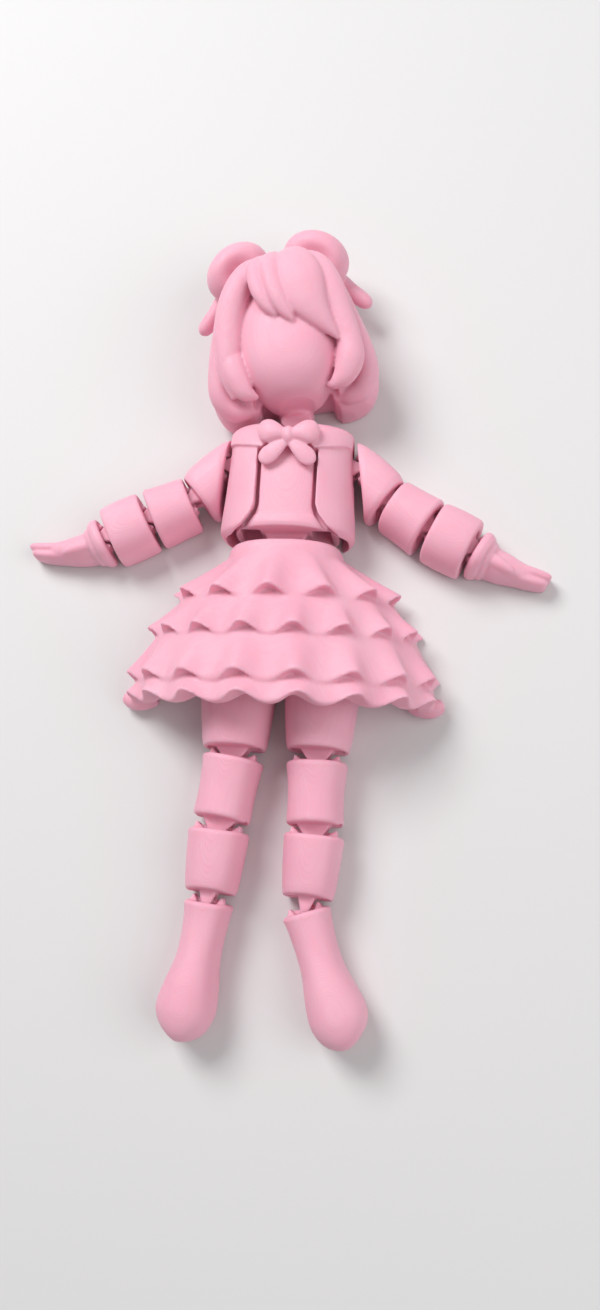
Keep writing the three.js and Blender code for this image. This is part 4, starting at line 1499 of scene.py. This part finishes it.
@dataclass
class Head:
    """Blank face under a swept fringe, side locks and a bow behind."""

    hang: Hang = Hang(11, 0.2, 1.2)
    offset: float = 0.8
    hair: Rows = (
        (40.4, 2.6, 15), (39.3, 5.4, 19), (37.2, 8.8, 22.4), (34.6, 12.2, 25), (31.5, 14.6, 26.4),
        (27, 16.8, 25.8), (20, 19, 23.6), (14, 20.9, 20.8), (9, 21.6, 18.6), (5, 20.4, 16.2),
        (2.7, 18.2, 13.4), (1.6, 14.5, 10))
    face: Rows = (
        (33, 9.6, 23), (29, 12, 24), (24, 12.8, 26), (18, 12.9, 26.8), (12, 12.2, 26.8),
        (7.2, 10.2, 25.4), (3.6, 7.2, 22.4), (2.2, 4.6, 19))
    face_base: float = 9
    neck: Pair = (4.5, 12.4)
    neck_insets: Rows = ((8, 0), (2.2, 0), (1.6, 0.2), (1.4, 0.5))
    neck_back: float = 2
    opening: Rows = (
        (-6.6, 31.5), (-6.4, 26), (-4.4, 22), (-1, 20), (3, 18.4), (9, 17), (12.6, 13.8), (12.4, 10.5),
        (11.4, 7.5), (10.5, 5), (10.5, 0), (11, -4), (-11.5, -4), (-11.5, 5), (-12.6, 8), (-13, 14),
        (-12.4, 21), (-10.4, 27))
    opening_floor: float = 18
    chin_opening: Rows = ((10.8, -4), (10.8, 6))
    chin_span: Pair = (12.9, 18.1)
    neck_opening: Rows = ((11.6, -4), (11.2, 1.2), (9.4, 3.2), (9, 5.5))
    neck_span: Pair = (-2, 13)
    side_strand: Rows = (
        (10.5, 33.5, 20.5, 2.6, 2.5), (13.2, 29, 20, 3, 3.2), (15.4, 22.5, 18, 3.1, 3.5),
        (17.9, 15, 15.4, 3, 4), (18.6, 8.6, 13.8, 3.1, 4), (16.6, 4.9, 12.4, 2.8, 3.4),
        (13.4, 3.7, 11.8, 2.1, 2.8), (10.8, 3.8, 11.2, 1.2, 1.8))
    strands: tuple[Rows, ...] = (
        ((-3, 37.6, 21.6, 2.2, 2), (-7, 34.8, 24, 3.1, 2.8), (-11, 29.6, 24.2, 3.4, 3),
         (-13.4, 24, 23, 3.4, 3), (-14.8, 17, 21.6, 3.2, 3), (-15.3, 10.5, 20, 2.6, 2.5),
         (-14.6, 5, 18, 1.2, 1.2)),
        ((-14, 25, 19.6, 1.4, 1.4), (-14.4, 18, 20.6, 2.5, 2.3), (-14.3, 12, 20.9, 3.1, 2.8),
         (-12.5, 6.3, 19.7, 2.6, 2.4), (-10.4, 4.6, 18.8, 1.4, 1.5), (-9, 4.2, 18.4, 0.5, 0.6)),
        ((5.6, 36.8, 22.8, 2.8, 2.6), (9.6, 33, 24.8, 3.8, 3), (12.2, 27, 25, 3.8, 2.8),
         (14, 20.5, 23.6, 3.2, 2.7), (15.2, 14.5, 22, 3.1, 2.9), (14.9, 9.5, 21, 3.5, 3.2),
         (13, 6, 20, 3, 2.6), (10.4, 4.4, 19, 1.7, 1.7), (8.3, 4.4, 18.5, 0.5, 0.6)),
        ((-2, 37.8, 22.4, 2.2, 2), (-4.4, 34.6, 26.4, 2.6, 2), (-5, 30.6, 27.6, 2.4, 1.9),
         (-4.6, 26.5, 28, 2, 1.7), (-3, 22.8, 27.4, 1.4, 1.3), (-1.4, 20.6, 26.8, 0.4, 0.5)),
        ((0.3, 38.2, 22.6, 2.4, 2), (-1.2, 34.8, 27.2, 2.7, 2), (-1.4, 30.6, 28.6, 2.6, 2),
         (-0.6, 25, 28.8, 2.2, 1.8), (1, 20.8, 27.8, 1.5, 1.4), (2.6, 18.4, 27, 0.4, 0.5)),
        ((3, 38, 22.8, 3, 2.2), (4, 34.8, 27, 4.8, 2.6), (5.2, 29.5, 28.3, 5.8, 2.8),
         (6.4, 24, 27.8, 5.2, 2.6), (8.6, 19.4, 26.6, 3.2, 2), (11.4, 15.4, 24.9, 1.5, 1.2),
         (12.6, 13.4, 24, 0.4, 0.5)))
    lobe: Triple = (10.2, 41.1, 15)
    lobe_size: Triple = (8.7, 6.6, 8)
    lobe_fall: float = 28
    lobe_steps: int = 96
    dent: Pair = (0.8, -2.4)
    dent_size: Pair = (4.2, 2.4)
    dent_depth: float = 3.4
    tail: Rows = (
        (13, 39.5, 9, 2.6, 3), (15.5, 36.8, 9, 2.5, 3), (18.2, 33.8, 8.8, 2.1, 2.6),
        (20.8, 31.2, 8.4, 2, 2.2), (22, 30, 8.2, 1.5, 1.6), (22.6, 29.4, 8, 0.5, 0.6))

    def hair_body(self, shop: Workshop) -> Body:
        """Back of the head with the opening for the face and the neck.

        Args:
            shop: where bodies are made.

        Returns:
            The closed body.
        """
        hair = shop.sections(self.hair, 4)
        hair = shop.combine(hair, shop.prism(self.opening, self.opening_floor), Join.CUT)
        for points, span in ((self.chin_opening, self.chin_span), (self.neck_opening, self.neck_span)):
            outline = [*points, *reversed(on_side(-1, points))]
            hair = shop.combine(hair, shop.prism(outline, *span), Join.CUT)
        return hair

    def bow(self, shop: Workshop) -> list[Body]:
        """Two lobes with hollow fronts and two tails.

        Args:
            shop: where bodies are made.

        Returns:
            Its bodies.
        """
        parts = []
        x, y, z = self.lobe
        for side in (-1, 1):
            lobe = shop.egg((0, 0, 0), self.lobe_size, steps=self.lobe_steps)
            lobe = shop.dented(lobe, (side * self.dent[0], self.dent[1]), self.dent_size, self.dent_depth)
            place = Matrix.Translation((side * x, y, z)) @ turned(-side * self.lobe_fall)
            parts.append(shop.moved(lobe, place))
            parts.append(shop.lock(self.tail, side))
        return parts

    def build(self, shop: Workshop, top: float) -> None:
        """Build the piece.

        Args:
            shop: where bodies are made.
            top: height of the torso's neck rim.
        """
        aside = Matrix.Translation((self.offset, 0, 0))
        face = shop.sections(self.face, base=self.face_base)
        bodies = [self.hair_body(shop), face, *[shop.lock(rows) for rows in self.strands], *self.bow(shop)]
        bodies += [shop.lock(self.side_strand, side.value) for side in Side]
        bodies = [shop.moved(made, aside) for made in bodies]
        neck = shop.loft([
            section(y, *self.neck, inset=inset, back=self.neck_back) for y, inset in self.neck_insets
        ])
        place = Matrix.Translation((self.hang.shift, top, 0)) @ turned(self.hang.lean)
        place = place @ Matrix.Translation((0, NECK.gap + self.hang.pull, 0))
        piece = Piece("head", shop, [neck], place).end(NECK, rim_at())
        piece.added += bodies
        piece.cast(voxel=0.37, passes=3)


# The scene


@dataclass
class Studio:
    """Floor, lamps and camera."""

    target: Triple = (2.3, -42.9, 7.0)
    distance: float = 270
    down: float = 12
    side: float = 5.5
    roll: float = 3.5
    long_side_pixels: float = 1310
    focal_pixels: float = 1100
    sensor: float = 36
    clip_start: float = 0.01
    floor_half: float = 1.5
    floor_drop: float = 0.0003
    lamps: tuple[tuple[str, Row, float, float], ...] = (
        ("key", (-0.35, 0.35, 0.6), 0.35, 5.0), ("fill", (0.5, -0.1, 0.5), 0.6, 2.0))
    lamp_aim: Triple = (0, -0.04, 0)
    glow: float = 0.34

    def floor(self, finish: Material) -> None:
        """Lay the floor.

        Args:
            finish: its material.
        """
        work = bmesh.new()
        bmesh.ops.create_grid(work, x_segments=4, y_segments=4, size=self.floor_half)
        mesh = mesh_of(work, "floor")
        mesh.transform(Matrix.Translation((0, 0, -self.floor_drop)))
        mesh.materials.append(finish)
        floor = bpy.data.objects.new("floor", mesh)
        bpy.context.scene.collection.objects.link(floor)
        floor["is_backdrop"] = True

    def lamp(self, name: str, place: Row, size: float, power: float) -> None:
        """Hang one soft lamp that points at the doll.

        Args:
            name: its name.
            place: where it hangs, in metres.
            size: its side, in metres.
            power: its power in watts.
        """
        data = bpy.data.lights.new(name, "AREA")
        data.size = size
        data.energy = power
        lamp = bpy.data.objects.new(name, data)
        lamp.location = place
        aim = Vector(self.lamp_aim) - Vector(place)
        lamp.rotation_euler = aim.to_track_quat("-Z", "Y").to_euler()
        bpy.context.scene.collection.objects.link(lamp)

    def camera(self) -> None:
        """Stand the camera where the photograph was taken."""
        side, down = [math.tan(math.radians(a)) for a in (self.side, self.down)]
        away = Vector((side, -down, 1)).normalized()
        target = Vector(self.target)
        spot = target + away * self.distance
        right = Vector((0, 1, 0)).cross(away).normalized()
        up = away.cross(right)
        turn = Matrix((right, up, away)).transposed().to_4x4()
        roll = turned(self.roll)
        data = bpy.data.cameras.new("camera")
        data.sensor_width = self.sensor
        data.lens = self.focal_pixels * data.sensor_width / self.long_side_pixels
        data.clip_start = self.clip_start
        camera = bpy.data.objects.new("camera", data)
        camera.matrix_world = roll @ Matrix.Translation(spot * MILLIMETRE) @ turn
        bpy.context.scene.collection.objects.link(camera)
        bpy.context.scene.camera = camera

    def build(self, floor: Material) -> None:
        """Set the whole studio.

        Args:
            floor: the floor's material.
        """
        self.camera()
        self.floor(floor)
        for lamp in self.lamps:
            self.lamp(*lamp)
        world = bpy.data.worlds.new("studio")
        world.use_nodes = True
        world.node_tree.nodes.clear()
        tree = Tree(world.node_tree)
        values = {"Color": (1, 1, 1, 1), "Strength": self.glow}
        glow = tree.node("ShaderNodeBackground", values=values)["Background"]
        tree.node("ShaderNodeOutputWorld", values={"Surface": glow})
        bpy.context.scene.world = world
        bpy.context.scene.view_settings.view_transform = "Standard"


RIGHT_ARM = {"shoulder": Hang(-1, -0.25), "elbow": Hang(-16, 0.35), "forearm": Hang(1.5, -0.35),
             "wrist": Hang(1, -0.3)}
LEFT_ARM = {"shoulder": Hang(4, 0.25), "elbow": Hang(5.5, -0.3), "forearm": Hang(7, -0.25),
            "wrist": Hang(-4, -0.35)}
RIGHT_LEG = {"hip": Hang(-1.5, 0), "knee": Hang(-7, -0.1), "shin": Hang(3.5, 0.1), "ankle": Hang(-2, -0.3)}
LEFT_LEG = {"hip": Hang(-2, 0), "knee": Hang(2, 0.3), "shin": Hang(-4, -0.2), "ankle": Hang(22, 0.55)}
# Degrees that each hand bends outwards
RIGHT_HAND_BEND, LEFT_HAND_BEND = 16, 8
LIMBS = ((Side.RIGHT, RIGHT_ARM, RIGHT_HAND_BEND, RIGHT_LEG), (Side.LEFT, LEFT_ARM, LEFT_HAND_BEND, LEFT_LEG))


def main() -> None:
    """Build the doll and its studio in order."""
    logging.basicConfig(level=logging.INFO, format="%(name)s: %(message)s")
    shop = Workshop(PrintedPlastic().material())
    Studio().build(PaleFloor().material())
    torso, skirt = Torso(), Skirt()
    waist = skirt.hang.place(WAIST, rim_at(y=torso.bodice_hem))
    for side, arm, bend, leg in LIMBS:
        Arm(side, arm, bend).build(shop, torso.shoulder_rim(side))
        Leg(side, leg).build(shop, waist @ skirt.hip_rim(side))
    torso.build(shop)
    skirt.build(shop, waist)
    Head().build(shop, torso.top)
    bpy.data.collections.remove(shop.bench)
    boxes = {"cad": CAD_BOX, "visual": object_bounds()}
    {k: [list(corner) for corner in v] for k, v in boxes.items()}


if __name__ == "__main__":
    main()
